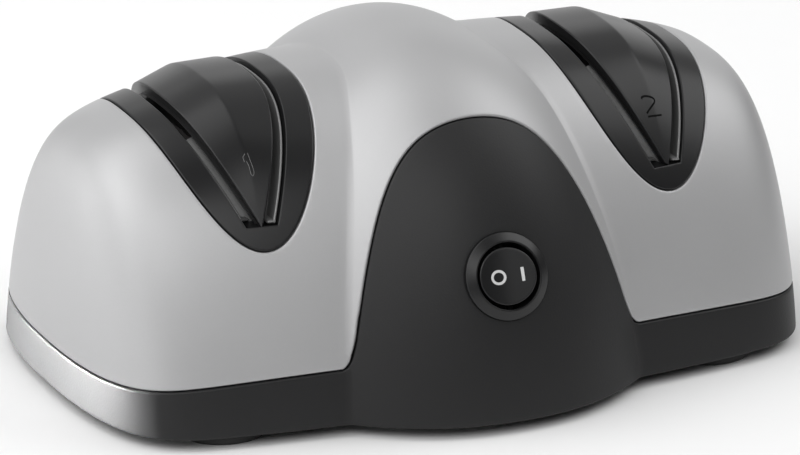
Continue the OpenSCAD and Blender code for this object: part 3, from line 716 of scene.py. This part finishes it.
def capped(rows):
    """The rows with more of them at each end, which close it."""
    def cap(row):
        centre = np.array([rows[row, 0, 0], 0, BASE_Z])
        return [centre + (rows[row] - centre) * share for share in CAP_SHARES]

    return np.concatenate([np.stack(cap(0)[::-1]), rows, np.stack(cap(-1))])


def body_grid():
    """Outer points over the whole body, their normals, and inner points."""
    outer = body_rows(0.0)
    ends = np.zeros((len(CAP_SHARES),) + outer.shape[1:])
    ends[..., 0] = 1
    return capped(outer), np.concatenate([-ends, normals_of(outer), ends]), capped(body_rows(WALL))


body_points = body_grid()
shell("upper_housing_shell", body_points,
      [lambda p: over_seam(p) - SEAM_GAP / 2, lambda p: -in_stage(p, 1), lambda p: -in_stage(p, -1)],
      HOUSING_ROUNDING, "housing", silver, "silver_housing", ["upper_housing"])
lower = shell("lower_housing_shell", body_points,
              [lambda p: -over_seam(p) - SEAM_GAP / 2, lambda p: p[..., 2] - BASE_Z,
               lambda p: off_switch(p, BEZEL_D / 2 - SEAT_CLEARANCE),
               lambda p: off_bush(p, BUSH_FLANGE_D / 2 + SEAT_CLEARANCE)],
              HOUSING_ROUNDING, "housing", black_housing, "black_housing", ["lower_housing"])

# ---- Floor of the lower housing ----
FLOOR_STEPS = 120
FLOOR_CROWDING = 2.2
FLOOR_OVERLAP = 0.2
TIP_MARGIN = 0.2
SHORTEST_EDGE = 0.05
SEAT_RIM = 0.6
SEAT_UNDER = 0.1
POST_UNDER = 0.6
POST_BEVEL = 0.3
SADDLE_MARGIN = 2
SADDLE_SINK = 0.5


def corners(x, y):
    return [(side * x, way * y) for side in (-1, 1) for way in (-1, 1)]


def floor_outline():
    """The body's footprint, which reaches a little into its wall."""
    xs = (HALF_LENGTH - WALL) * (1 - (1 - np.linspace(0, 1, FLOOR_STEPS)) ** FLOOR_CROWDING)
    front = skin(xs, np.zeros_like(xs), WALL - FLOOR_OVERLAP)[:, :2]
    front = front[front[:, 1] < -TIP_MARGIN]
    half = np.concatenate([front, (front * (1, -1))[::-1]])
    outline = np.concatenate([half, (half * (-1, 1))[::-1]])
    return outline[np.linalg.norm(outline - np.roll(outline, 1, 0), axis=-1) > SHORTEST_EDGE]


def floor_holes():
    foot_r, screw_r = FOOT_D / 2 + SEAT_CLEARANCE, SCREW_HEAD_D / 2 + SEAT_CLEARANCE
    holes = [circle_outline(x, y, foot_r) for x, y in corners(FOOT_X, FOOT_Y)]
    holes += [circle_outline(x, y, screw_r, 48) for x, y in corners(SCREW_X, SCREW_Y)]
    middle, reach = (STACK_BACK - STACK_FRONT) / 2, (VENT_LENGTH - VENT_WIDTH) / 2
    for k in range(VENT_COUNT):
        x = (k - (VENT_COUNT - 1) / 2) * VENT_PITCH
        vent = circle_outline(x, middle, VENT_WIDTH / 2, 32)
        holes.append(vent + np.where(vent[:, 1:] > middle, 1, -1) * (0, reach))
    return holes


def foot_seats():
    """Discs over the feet, inside the floor's thickness."""
    radius, low, high = FOOT_D / 2 + SEAT_RIM, BASE_Z + FOOT_RECESS, BASE_Z + FLOOR - SEAT_UNDER
    profile = [(0, low), (radius, low), (radius, high), (0, high)]
    return [lathe(profile, np.array([x, y, 0]), UPWARD, REARWARD, 64) for x, y in corners(FOOT_X, FOOT_Y)]


def screw_posts():
    bore, head, post = SCREW_D / 2 + SCREW_CLEARANCE, SCREW_HEAD_D / 2 + SEAT_CLEARANCE, POST_D / 2
    low, seat, top = BASE_Z + POST_UNDER, BASE_Z + SCREW_SEAT, BASE_Z + POST_HEIGHT
    profile = [(head, low), (post, low), (post, top - POST_BEVEL), (post - POST_BEVEL, top), (bore, top),
               (bore, seat), (head, seat)]
    return [lathe(profile, np.array([x, y, 0]), UPWARD, REARWARD, 48) for x, y in corners(SCREW_X, SCREW_Y)]


def motor_saddles():
    half, low = STACK_THICKNESS / 2 - SADDLE_MARGIN, BASE_Z + FLOOR - SADDLE_SINK
    return [box((-half, y, low), (half, y + SADDLE_WIDTH, STACK_LOW))
            for y in (-STACK_FRONT + SADDLE_INSET, STACK_BACK - SADDLE_INSET - SADDLE_WIDTH)]


def panel_pads():
    """Rings of thicker panel behind the switch's bezel and the bush's flange."""
    low = -BEZEL_RECESS - SWITCH_PAD
    inner, outer = BARREL_D / 2 + SEAT_CLEARANCE, BEZEL_D / 2 + WALL
    switch_ring = [(inner, low), (outer, low), (outer, -BEZEL_RECESS), (inner, -BEZEL_RECESS)]
    inner, outer = BUSH_NECK_D / 2 + SEAT_CLEARANCE, (BUSH_FLANGE_D + WALL) / 2
    bush_ring = [(inner, -BUSH_PAD), (outer, -BUSH_PAD), (outer, 0), (inner, 0)]
    return [lathe(switch_ring, SWITCH_AT, SWITCH_OUT, SWITCH_UP),
            lathe(bush_ring, BUSH_AT, REARWARD, UPWARD)]


floor_plate = plate([floor_outline()] + floor_holes(), BASE_Z, BASE_Z + FLOOR)
finish_mesh("lower_housing_floor",
            *merge(floor_plate, *foot_seats(), *screw_posts(), *motor_saddles(), *panel_pads()),
            "housing", black_housing, "black_housing", ["lower_housing"], weld=False)

# ---- Guide inserts ----
INSERT_REACH = 24.5
INSERT_ANGLES = (math.radians(24), math.radians(156))
SLOT_FLOOR_STEPS = 60
SLOT_FLOOR_SIDE = 0.3
SLOT_FLOOR_OVERRUN = 3


def insert_grid(side, steps_x=196, steps_a=300):
    """Outer points of an insert with its wedge, their normals, and inner points."""
    s = np.linspace(-INSERT_REACH, INSERT_REACH, steps_x + 1)
    s, a = np.meshgrid(s, np.linspace(*INSERT_ANGLES, steps_a + 1), indexing="ij")
    x = side * (STAGE_X + s)
    base, raised = skin(x, a), skin(x, a, 0.0, 1.0)
    wedge = (slot_frame(raised, side, 1)[0] < 0) & (slot_frame(raised, side, -1)[0] > 0)
    n = np.where(wedge[..., None], normals_of(raised), normals_of(base))
    return np.where(wedge[..., None], raised, base), side * n, skin(x, a, WALL)


def slot_floor(side, way, end):
    """The closed end of a slot's floor, from its foot up to the opening over the wheel."""
    low, high = way * (SLOT_INNER - SLOT_FLOOR_SIDE), way * (SLOT_OUTER + SLOT_FLOOR_SIDE)
    curves = [slot_curve(way, inset) for inset in (SLOT_FLOOR_DEPTH, SLOT_FLOOR_DEPTH + TROUGH_WALL)]
    order = np.argsort(end * curves[0][0])
    reach = [end * y[order] for y, _ in curves]
    ups = [up[order] for _, up in curves]
    foot = [float(y[y > 0][np.argmin(abs(up[y > 0]))]) for y, up in zip(reach, ups)]
    rings = []
    for t in np.linspace(0, 1, SLOT_FLOOR_STEPS):
        ring = []
        for k, across in ((0, low), (0, high), (1, high), (1, low)):
            y = SLOT_OPENING / 2 + t * (foot[k] + SLOT_FLOOR_OVERRUN - SLOT_OPENING / 2)
            up = float(np.interp(y, reach[k], ups[k]))
            ring.append(slot_place(side, way, across, end * y, up))
        rings.append(ring)
    return sweep(rings)


def guide_insert(side):
    node = "guide_insert_1" if side < 0 else "guide_insert_2"
    fields = [lambda q: in_stage(q, side) - SEAM_GAP, lambda q: off_slot(q, side, 1),
              lambda q: off_slot(q, side, -1)]
    trough = SLOT_DEPTH + TROUGH_WALL
    shell(f"{node}_cover", insert_grid(side), fields, INSERT_ROUNDING, "housing", black_insert,
          "black_insert", [node], deep=[WALL, trough, trough])
    verts, faces = merge(*[slot_floor(side, way, end) for way in (-1, 1) for end in (-1, 1)])
    # The slot floors carry a lighter grey as painted light, since little lamp light reaches them
    finish_mesh(f"{node}_slot_floors", verts, faces, "housing", slot_floor_painted_light, "black_insert", [node])


guide_insert(-1)
guide_insert(1)

# ---- Stage numbers on the wedges ----
# Strokes as points across and up from the number's own place
NUMERAL_Z = BASE_Z + 62.3
NUMERAL_X = {1: -STAGE_X, 2: STAGE_X}
NUMERAL_WIDTH = {1: 0.16, 2: 0.55}
NUMERAL_STROKES = {
    1: [[(0.0, 4.8), (-0.7, 4.1), (-0.7, 3.1)],
        [(-0.1, 3.2), (0.15, 2.0), (0.15, 0.6), (0.45, 0.0), (0.95, 0.4), (1.1, 1.2), (0.95, 2.8),
         (0.7, 4.9)]],
    2: [[(-2.9, 4.1), (-2.7, 4.5), (-1.6, 4.6), (-0.1, 4.2), (0.7, 3.6), (0.6, 3.0), (-0.3, 2.4),
         (-1.6, 1.6), (-2.6, 0.9)],
        [(-2.5, 0.15), (-0.9, 0.1), (1.7, -0.1)]]}
# Section of a stroke: share of half its width, and height over the skin
STROKE_SECTION = ((-1, -0.1), (-0.8, 0.02), (0, 0.05), (0.8, 0.02), (1, -0.1))
WEDGE_OUT = np.array([0, -math.cos(math.radians(45)), math.sin(math.radians(45))])


def smooth_line(points, steps=8):
    """Points along a smooth line through the given ones."""
    points = np.array(points, float)
    ends = np.concatenate([2 * points[:1] - points[1:2], points, 2 * points[-1:] - points[-2:-1]])
    out = []
    for a, b, c, d in zip(ends, ends[1:], ends[2:], ends[3:]):
        for t in np.linspace(0, 1, steps, endpoint=False):
            out.append(0.5 * (2 * b + (c - a) * t + (2 * a - 5 * b + 4 * c - d) * t ** 2
                              + (3 * b - a - 3 * c + d) * t ** 3))
    return np.array(out + [points[-1]])


def stage_number(number, material):
    """Thin strokes that follow the front of a wedge."""
    half, parts = NUMERAL_WIDTH[number] / 2, []
    for stroke in NUMERAL_STROKES[number]:
        line = smooth_line(stroke)
        ahead = np.gradient(line, axis=0)
        across = unit(np.stack([-ahead[:, 1], ahead[:, 0]], -1))
        tracks = []
        for share, lift in STROKE_SECTION:
            at = line + across * share * half
            x, z = NUMERAL_X[number] + at[:, 0], NUMERAL_Z + at[:, 1]
            tracks.append(skin(x, front_angle(x, z, 1.0), 0.0, 1.0) + WEDGE_OUT * lift)
        parts.append(sweep(np.stack(tracks, 1)))
    verts, faces = merge(*parts)
    finish_mesh(f"stage_number_{number}", verts, faces, "housing", material, "black_insert", weld=False)


# Stage 1: thin lighter strokes, a painted highlight along the edges of a raised numeral
stage_number(1, numeral_painted_highlight)
# Stage 2: near-black strokes over the wedge, painted shade in place of the shade inside an engraved groove
stage_number(2, pin_black_and_painted_groove_shade)

# ---- Spring leaves ----
# Middle of the strip across its slot, its back below the skin, and where it meets its foot
LEAF_SHIFT = SLOT_OUTER - LEAF_GAP - LEAF_THICKNESS / 2
LEAF_BACK = SLOT_DEPTH - LEAF_GAP
LEAF_LEAN, LEAF_REST = math.sin(SLOT_TILT), math.cos(SLOT_TILT)
LEAF_FOOT_UP = (LEAF_GAP + LEAF_SHIFT * LEAF_LEAN) / LEAF_REST
LEAF_BEVEL = 0.1
LEAF_FOOT_BEVEL = 0.2
# Along the foot from its front edge to its back: share of the way, and how much is rounded off
LEAF_FOOT_ROUNDING = ((0, 0.25), (0.06, 0.07), (0.12, 0), (0.9, 0), (1, 0.15))


def leaf_section(set_back):
    """Outline of the strip with a round front edge: across the slot, and below the skin."""
    half = LEAF_THICKNESS / 2
    low, high = LEAF_SHIFT - half, LEAF_SHIFT + half
    section = [(LEAF_SHIFT + half * math.cos(t), set_back + half - half * math.sin(t))
               for t in np.linspace(0, math.pi, 9)]
    return section + [(low, LEAF_BACK - LEAF_BEVEL), (low + LEAF_BEVEL, LEAF_BACK),
                      (high - LEAF_BEVEL, LEAF_BACK), (high, LEAF_BACK - LEAF_BEVEL)]


def leaf_strip(side, way, set_back, steps=160):
    tracks = []
    for across, inset in leaf_section(set_back):
        y, up = slot_curve(way, round(inset, 5))
        over = up > LEAF_FOOT_UP
        y, up = y[over], up[over]
        t, at = np.linspace(0, 1, steps), np.linspace(0, 1, len(y))
        tracks.append(slot_place(side, way, way * across, np.interp(t, at, y), np.interp(t, at, up)))
    return sweep(np.stack(tracks, 1))


def leaf_foot_y(way, end, inset):
    """Where the slot's middle plane, at a depth under the skin, passes the height of the foot."""
    y, up = slot_curve(way, inset)
    near = end * y > 0
    return float(y[near][np.argmin(abs(up[near] - LEAF_FOOT_UP))])


def leaf_foot(side, way, end, set_back):
    """The foot that turns in from an end of the strip along the slot's lower end."""
    front, back = leaf_foot_y(way, end, set_back), leaf_foot_y(way, end, LEAF_BACK)
    rings = []
    for t, rounded in LEAF_FOOT_ROUNDING:
        y, bevel = front + t * (back - front), LEAF_FOOT_BEVEL
        a0, a1 = LEAF_SHIFT - LEAF_FOOT + rounded, LEAF_SHIFT + LEAF_BEVEL
        u0, u1 = LEAF_GAP + rounded, LEAF_GAP + LEAF_THICKNESS - rounded
        ring = [(a0 + bevel, u0), (a1, u0), (a1, u1), (a0 + bevel, u1), (a0, u1 - bevel), (a0, u0 + bevel)]
        rings.append([slot_place(side, way, way * across, y, (high + across * LEAF_LEAN) / LEAF_REST)
                      for across, high in ring])
    return sweep(rings)


def spring_leaf(side, way):
    number, place = (1 if side < 0 else 2), ("outer" if way > 0 else "inner")
    set_back = LEAF_SET_BACK[way * side]
    parts = [leaf_strip(side, way, set_back)]
    parts += [leaf_foot(side, way, end, set_back) for end in (-1, 1)]
    verts, faces = merge(*parts)
    finish_mesh(f"leaf_{number}_{place}", verts, faces, "housing", steel, "spring_steel",
                [f"spring_leaf_{number}_{place}"])


for side in (-1, 1):
    for way in (-1, 1):
        spring_leaf(side, way)

# ---- Switch ----
BEZEL_FILLET = 0.4
BARREL_BEVEL = 0.5
OPENING_DEPTH = 7
# Catches on the barrel: half width at the panel, its share at the tip, half height, length
CATCH_HALF_WIDTH = 0.7
CATCH_TIP_SHARE = 0.3
CATCH_HALF_HEIGHT = 2.5
CATCH_LENGTH = 6
CATCH_OUT = 0.3


def fillet(corner, before, after, radius, steps=6):
    """Points of a rounded corner of an outline."""
    corner, before, after = (np.array(q, float) for q in (corner, before, after))
    one, two = before - corner, after - corner
    one, two = one / np.linalg.norm(one), two / np.linalg.norm(two)
    half = math.acos(max(-1.0, min(1.0, float(one @ two)))) / 2
    start, end = corner + one * radius / math.tan(half), corner + two * radius / math.tan(half)
    centre = corner + (one + two) / np.linalg.norm(one + two) * radius / math.sin(half)
    out = []
    for t in np.linspace(0, 1, steps + 1):
        q = start + (end - start) * t - centre
        out.append(tuple(centre + q / np.linalg.norm(q) * radius))
    return out


def bezel_ring():
    """The bezel and the barrel in one outline, open at the front as far as the rocker's floor."""
    rim, opening, barrel = BEZEL_D / 2, ROCKER_OPENING / 2, BARREL_D / 2
    floor_h, bottom = -BEZEL_RECESS - OPENING_DEPTH, -BEZEL_RECESS - BARREL_DEPTH
    lip, edge = (opening, BEZEL_LIP), (rim, BEZEL_EDGE)
    profile = [(0, floor_h), (opening, floor_h)]
    profile += fillet(lip, (opening, floor_h), edge, BEZEL_FILLET)
    profile += fillet(edge, lip, (rim, -BEZEL_RECESS), BEZEL_FILLET)
    profile += [(rim, -BEZEL_RECESS), (barrel, -BEZEL_RECESS), (barrel, bottom + BARREL_BEVEL),
                (barrel - BARREL_BEVEL, bottom), (0, bottom)]
    return lathe(profile, SWITCH_AT, SWITCH_OUT, SWITCH_UP, 192)


def barrel_catch(way):
    """A catch that holds the barrel behind the panel, wide at the panel and narrow at its tip."""
    behind = -BEZEL_RECESS - SWITCH_PAD - SEAT_CLEARANCE
    rings = []
    for h, share in ((behind - CATCH_LENGTH, CATCH_TIP_SHARE), (behind, 1)):
        ring = []
        for a, u in ((-1, -1), (1, -1), (1, 1), (-1, 1)):
            x = way * (BARREL_D / 2 + CATCH_OUT) + a * CATCH_HALF_WIDTH * share
            up = SWITCH_UP * u * CATCH_HALF_HEIGHT
            ring.append(SWITCH_AT + np.array([x, 0, 0]) + up + SWITCH_OUT * h)
        rings.append(ring)
    return sweep(rings)


verts, faces = merge(bezel_ring(), barrel_catch(-1), barrel_catch(1))
finish_mesh("switch_bezel", verts, faces, "housing", switch_black, "switch_black", ["switch_body"],
            sharp=40)

# ---- Rocker, tilted to its off side at rest ----
REST = -ROCKER_TRAVEL / 2
PIVOT_AT = SWITCH_AT - SWITCH_OUT * PIVOT_DEPTH
ROCKER_X = np.array([math.cos(REST), 0, 0]) - math.sin(REST) * SWITCH_OUT
ROCKER_OUT = math.cos(REST) * SWITCH_OUT + np.array([math.sin(REST), 0, 0])
ROCKER_FACE = 1
ROCKER_ROUNDING = 0.35
# Angles round the face's edge, from where the face ends to the side
EDGE_ANGLES = np.linspace(0.25, math.pi / 2, 6)
# Outlines under the face: height, and share of the radius
SKIRT = ((-2.8, 1), (-3.0, 0.97))
PIN_BEVEL = 0.2
PIN_CLEARANCE = 0.8


def on_rocker(x, y, h):
    """Points in space from the rocker's own frame, about its pivot."""
    x, y, h = (np.asarray(q, float)[..., None] for q in (x, y, h))
    return PIVOT_AT + x * ROCKER_X + y * SWITCH_UP + h * ROCKER_OUT


def rocker_height(x):
    """Height of the dished face over the pivot."""
    c, half = ROCKER_SMOOTH, ROCKER_D / 2
    rise = ROCKER_DISH * (np.sqrt(x ** 2 + c ** 2) - c) / (math.hypot(half, c) - c)
    return ROCKER_FACE + ROCKER_RAISE + rise


def rocker_key(steps=24, segments=160):
    r, edge = ROCKER_D / 2, ROCKER_ROUNDING
    turn = np.linspace(0, 2 * math.pi, segments, endpoint=False)
    rings = [((r - edge) * k / steps, 0.0) for k in range(1, steps + 1)]
    rings += [(r - edge + edge * math.sin(t), edge * (1 - math.cos(t))) for t in EDGE_ANGLES]
    verts = [on_rocker(0, 0, rocker_height(0.0))[None]]
    for radius, drop in rings:
        x, y = radius * np.cos(turn), radius * np.sin(turn)
        verts.append(on_rocker(x, y, rocker_height(x) - drop))
    x, y = r * np.cos(turn), r * np.sin(turn)
    for h, share in SKIRT:
        verts.append(on_rocker(share * x, share * y, np.full_like(x, h)))
    count = len(verts) - 1
    faces = [[0, 1 + k, 1 + (k + 1) % segments] for k in range(segments)]
    for ring in range(count - 1):
        first = 1 + ring * segments
        for k in range(segments):
            k2 = (k + 1) % segments
            faces.append([first + k, first + segments + k, first + segments + k2, first + k2])
    faces.append([1 + (count - 1) * segments + k for k in reversed(range(segments))])
    return np.concatenate(verts), faces


def rocker_pins():
    """The pivot's pins, as one rod across the rocker."""
    pin, reach = PIVOT_D / 2, BARREL_D / 2 - PIN_CLEARANCE
    profile = [(0, -reach), (pin - PIN_BEVEL, -reach), (pin, -reach + PIN_BEVEL), (pin, reach - PIN_BEVEL),
               (pin - PIN_BEVEL, reach), (0, reach)]
    return lathe(profile, PIVOT_AT, SWITCH_UP, ROCKER_OUT, 32)


finish_mesh("rocker_key", *rocker_key(), "rocker", switch_black, "switch_black", ["switch_rocker"])
finish_mesh("rocker_pins", *rocker_pins(), "rocker", pin_black_and_painted_groove_shade, "switch_black", ["switch_rocker"])

# ---- Marks on the rocker ----
MARK_OFF_AT = np.array([-2.4, 0.0])
MARK_OFF_SIZE = np.array([2.05, 1.95])
MARK_OFF_STROKE = 0.68
MARK_ON_AT = np.array([4.0, 0.0])
MARK_ON_SIZE = np.array([0.4, 1.8])
MARK_LIFT = 0.03
MARK_SINK = 0.1
BAR_OUTLINE = np.array([(-1, -0.97), (-0.9, -1), (0.9, -1), (1, -0.97), (1, 0.97), (0.9, 1), (-0.9, 1),
                        (-1, 0.97)])
BAR_CORE = (0.02, 0.9)


def printed_mark(name, outer, inner):
    """A thin mark on the rocker's face between two closed loops."""
    def raised(loop, by):
        x, y = loop.T
        return on_rocker(x, y, rocker_height(x) + by)

    count = len(outer)
    rings = [raised(outer, -MARK_SINK), raised(outer, MARK_LIFT), raised(inner, MARK_LIFT),
             raised(inner, -MARK_SINK)]
    faces = []
    for first in (0, count, 2 * count):
        for k in range(count):
            k2 = (k + 1) % count
            faces.append([first + k, first + k2, first + count + k2, first + count + k])
    finish_mesh(name, np.concatenate(rings), faces, "rocker", mark_white, "switch_black", weld=False)


circle = circle_outline(0, 0, 1, 72)
bar = MARK_ON_AT + MARK_ON_SIZE * BAR_OUTLINE
printed_mark("mark_off", MARK_OFF_AT + circle * MARK_OFF_SIZE,
             MARK_OFF_AT + circle * (MARK_OFF_SIZE - MARK_OFF_STROKE))
printed_mark("mark_on", bar, MARK_ON_AT + (bar - MARK_ON_AT) * BAR_CORE)

# ---- Camera, where the photo was taken from ----
AZIMUTH, ELEVATION = math.radians(24.0), math.radians(19.53)
DISTANCE = 1946.5
PIXELS_PER_MM = 3.762
TARGET = np.array([0, 0, 51.2])
TARGET_PIXEL = (401.07, 155.94)
PHOTO_WIDTH, PHOTO_HEIGHT = 800, 455
SENSOR_WIDTH = 36
CLIP_END = 50

back = np.array([-math.sin(AZIMUTH) * math.cos(ELEVATION), -math.cos(AZIMUTH) * math.cos(ELEVATION),
                 math.sin(ELEVATION)])
right = np.array([math.cos(AZIMUTH), -math.sin(AZIMUTH), 0])
up_axis = np.cross(back, right)
position = TARGET + DISTANCE * back
aim = (TARGET - right * (TARGET_PIXEL[0] - PHOTO_WIDTH / 2) / PIXELS_PER_MM
       - up_axis * (PHOTO_HEIGHT / 2 - TARGET_PIXEL[1]) / PIXELS_PER_MM)
camera_data = bpy.data.cameras.new("camera")
camera_data.sensor_width = SENSOR_WIDTH
camera_data.lens = PIXELS_PER_MM * DISTANCE / PHOTO_WIDTH * SENSOR_WIDTH
camera_data.clip_end = CLIP_END
camera = bpy.data.objects.new("camera", camera_data)
bpy.context.scene.collection.objects.link(camera)
camera.location = Vector(position * MM)
camera.rotation_euler = Vector((aim - position) * MM).to_track_quat("-Z", "Y").to_euler()
bpy.context.scene.camera = camera

# ---- Floor and light, in metres and watts ----
FLOOR_REACH = 6
WORLD_STRENGTH = 0.06
MIDDLE = (0, 0, 0.05)
STRIP_LIGHT_SPREAD = math.radians(16)
# Name, place, point that it faces, size, power
LIGHTS = (
    ("left_softbox", (-1.3, -0.2, 0.7), MIDDLE, (2.2, 1.4), 9.5),
    ("left_top_softbox", (-0.9, 0.2, 1.2), MIDDLE, (1.8, 1.6), 14.5),
    ("left_rim", (-0.9, 0.7, 0.16), (-0.08, 0, 0.04), (0.6, 0.25), 1.4),
    ("left_low", (-0.6, 0.38, 0.07), (-0.1, -0.02, 0.01), (0.06, 0.06), 0.4),
    ("front_softbox", (-0.4, -1.2, 1.1), MIDDLE, (1.2, 0.8), 7.5),
    ("right_softbox", (1.0, -0.2, 1.0), MIDDLE, (1.0, 1.0), 7),
    ("back_softbox", (0.8, 1.4, 0.5), MIDDLE, (1.8, 1.0), 5.2),
    ("back_left_softbox", (-0.6, 1.4, 0.5), MIDDLE, (1.8, 1.0), 2.3),
    ("top_softbox", (0.2, 0.4, 1.15), (0, 0.05, 0), (1.5, 1.4), 3.5),
)

floor_mesh = bpy.data.meshes.new("floor")
floor_corners = [(x, y, 0) for x, y in corners(FLOOR_REACH, FLOOR_REACH)]
floor_mesh.from_pydata(floor_corners, [], [[0, 2, 3, 1]])
floor = bpy.data.objects.new("floor", floor_mesh)
bpy.context.scene.collection.objects.link(floor)
floor_mesh.materials.append(plastic("pale_floor", (0.9, 0.9, 0.9), 0.9, mottle=0.01))

world = bpy.data.worlds.new("studio")
bpy.context.scene.world = world
world.use_nodes = True
world.node_tree.nodes["Background"].inputs["Color"].default_value = (1, 1, 1, 1)
world.node_tree.nodes["Background"].inputs["Strength"].default_value = WORLD_STRENGTH
bpy.context.scene.view_settings.view_transform = "Standard"


def area_light(name, where, look_at, size, power):
    data = bpy.data.lights.new(name, "AREA")
    data.shape = "RECTANGLE"
    data.size, data.size_y = size
    data.energy = power
    lamp = bpy.data.objects.new(name, data)
    bpy.context.scene.collection.objects.link(lamp)
    lamp.location = where
    lamp.rotation_euler = (Vector(look_at) - Vector(where)).to_track_quat("-Z", "Y").to_euler()
    return lamp


lamps = {row[0]: area_light(*row) for row in LIGHTS}

# The bright left end of the base strip: a narrow light that reaches the lower housing's shell only
strip_light = lamps["left_low"]
strip_light.data.spread = STRIP_LIGHT_SPREAD
strip_light.light_linking.receiver_collection = bpy.data.collections.new("strip_lighting")
strip_light.light_linking.receiver_collection.objects.link(lower)
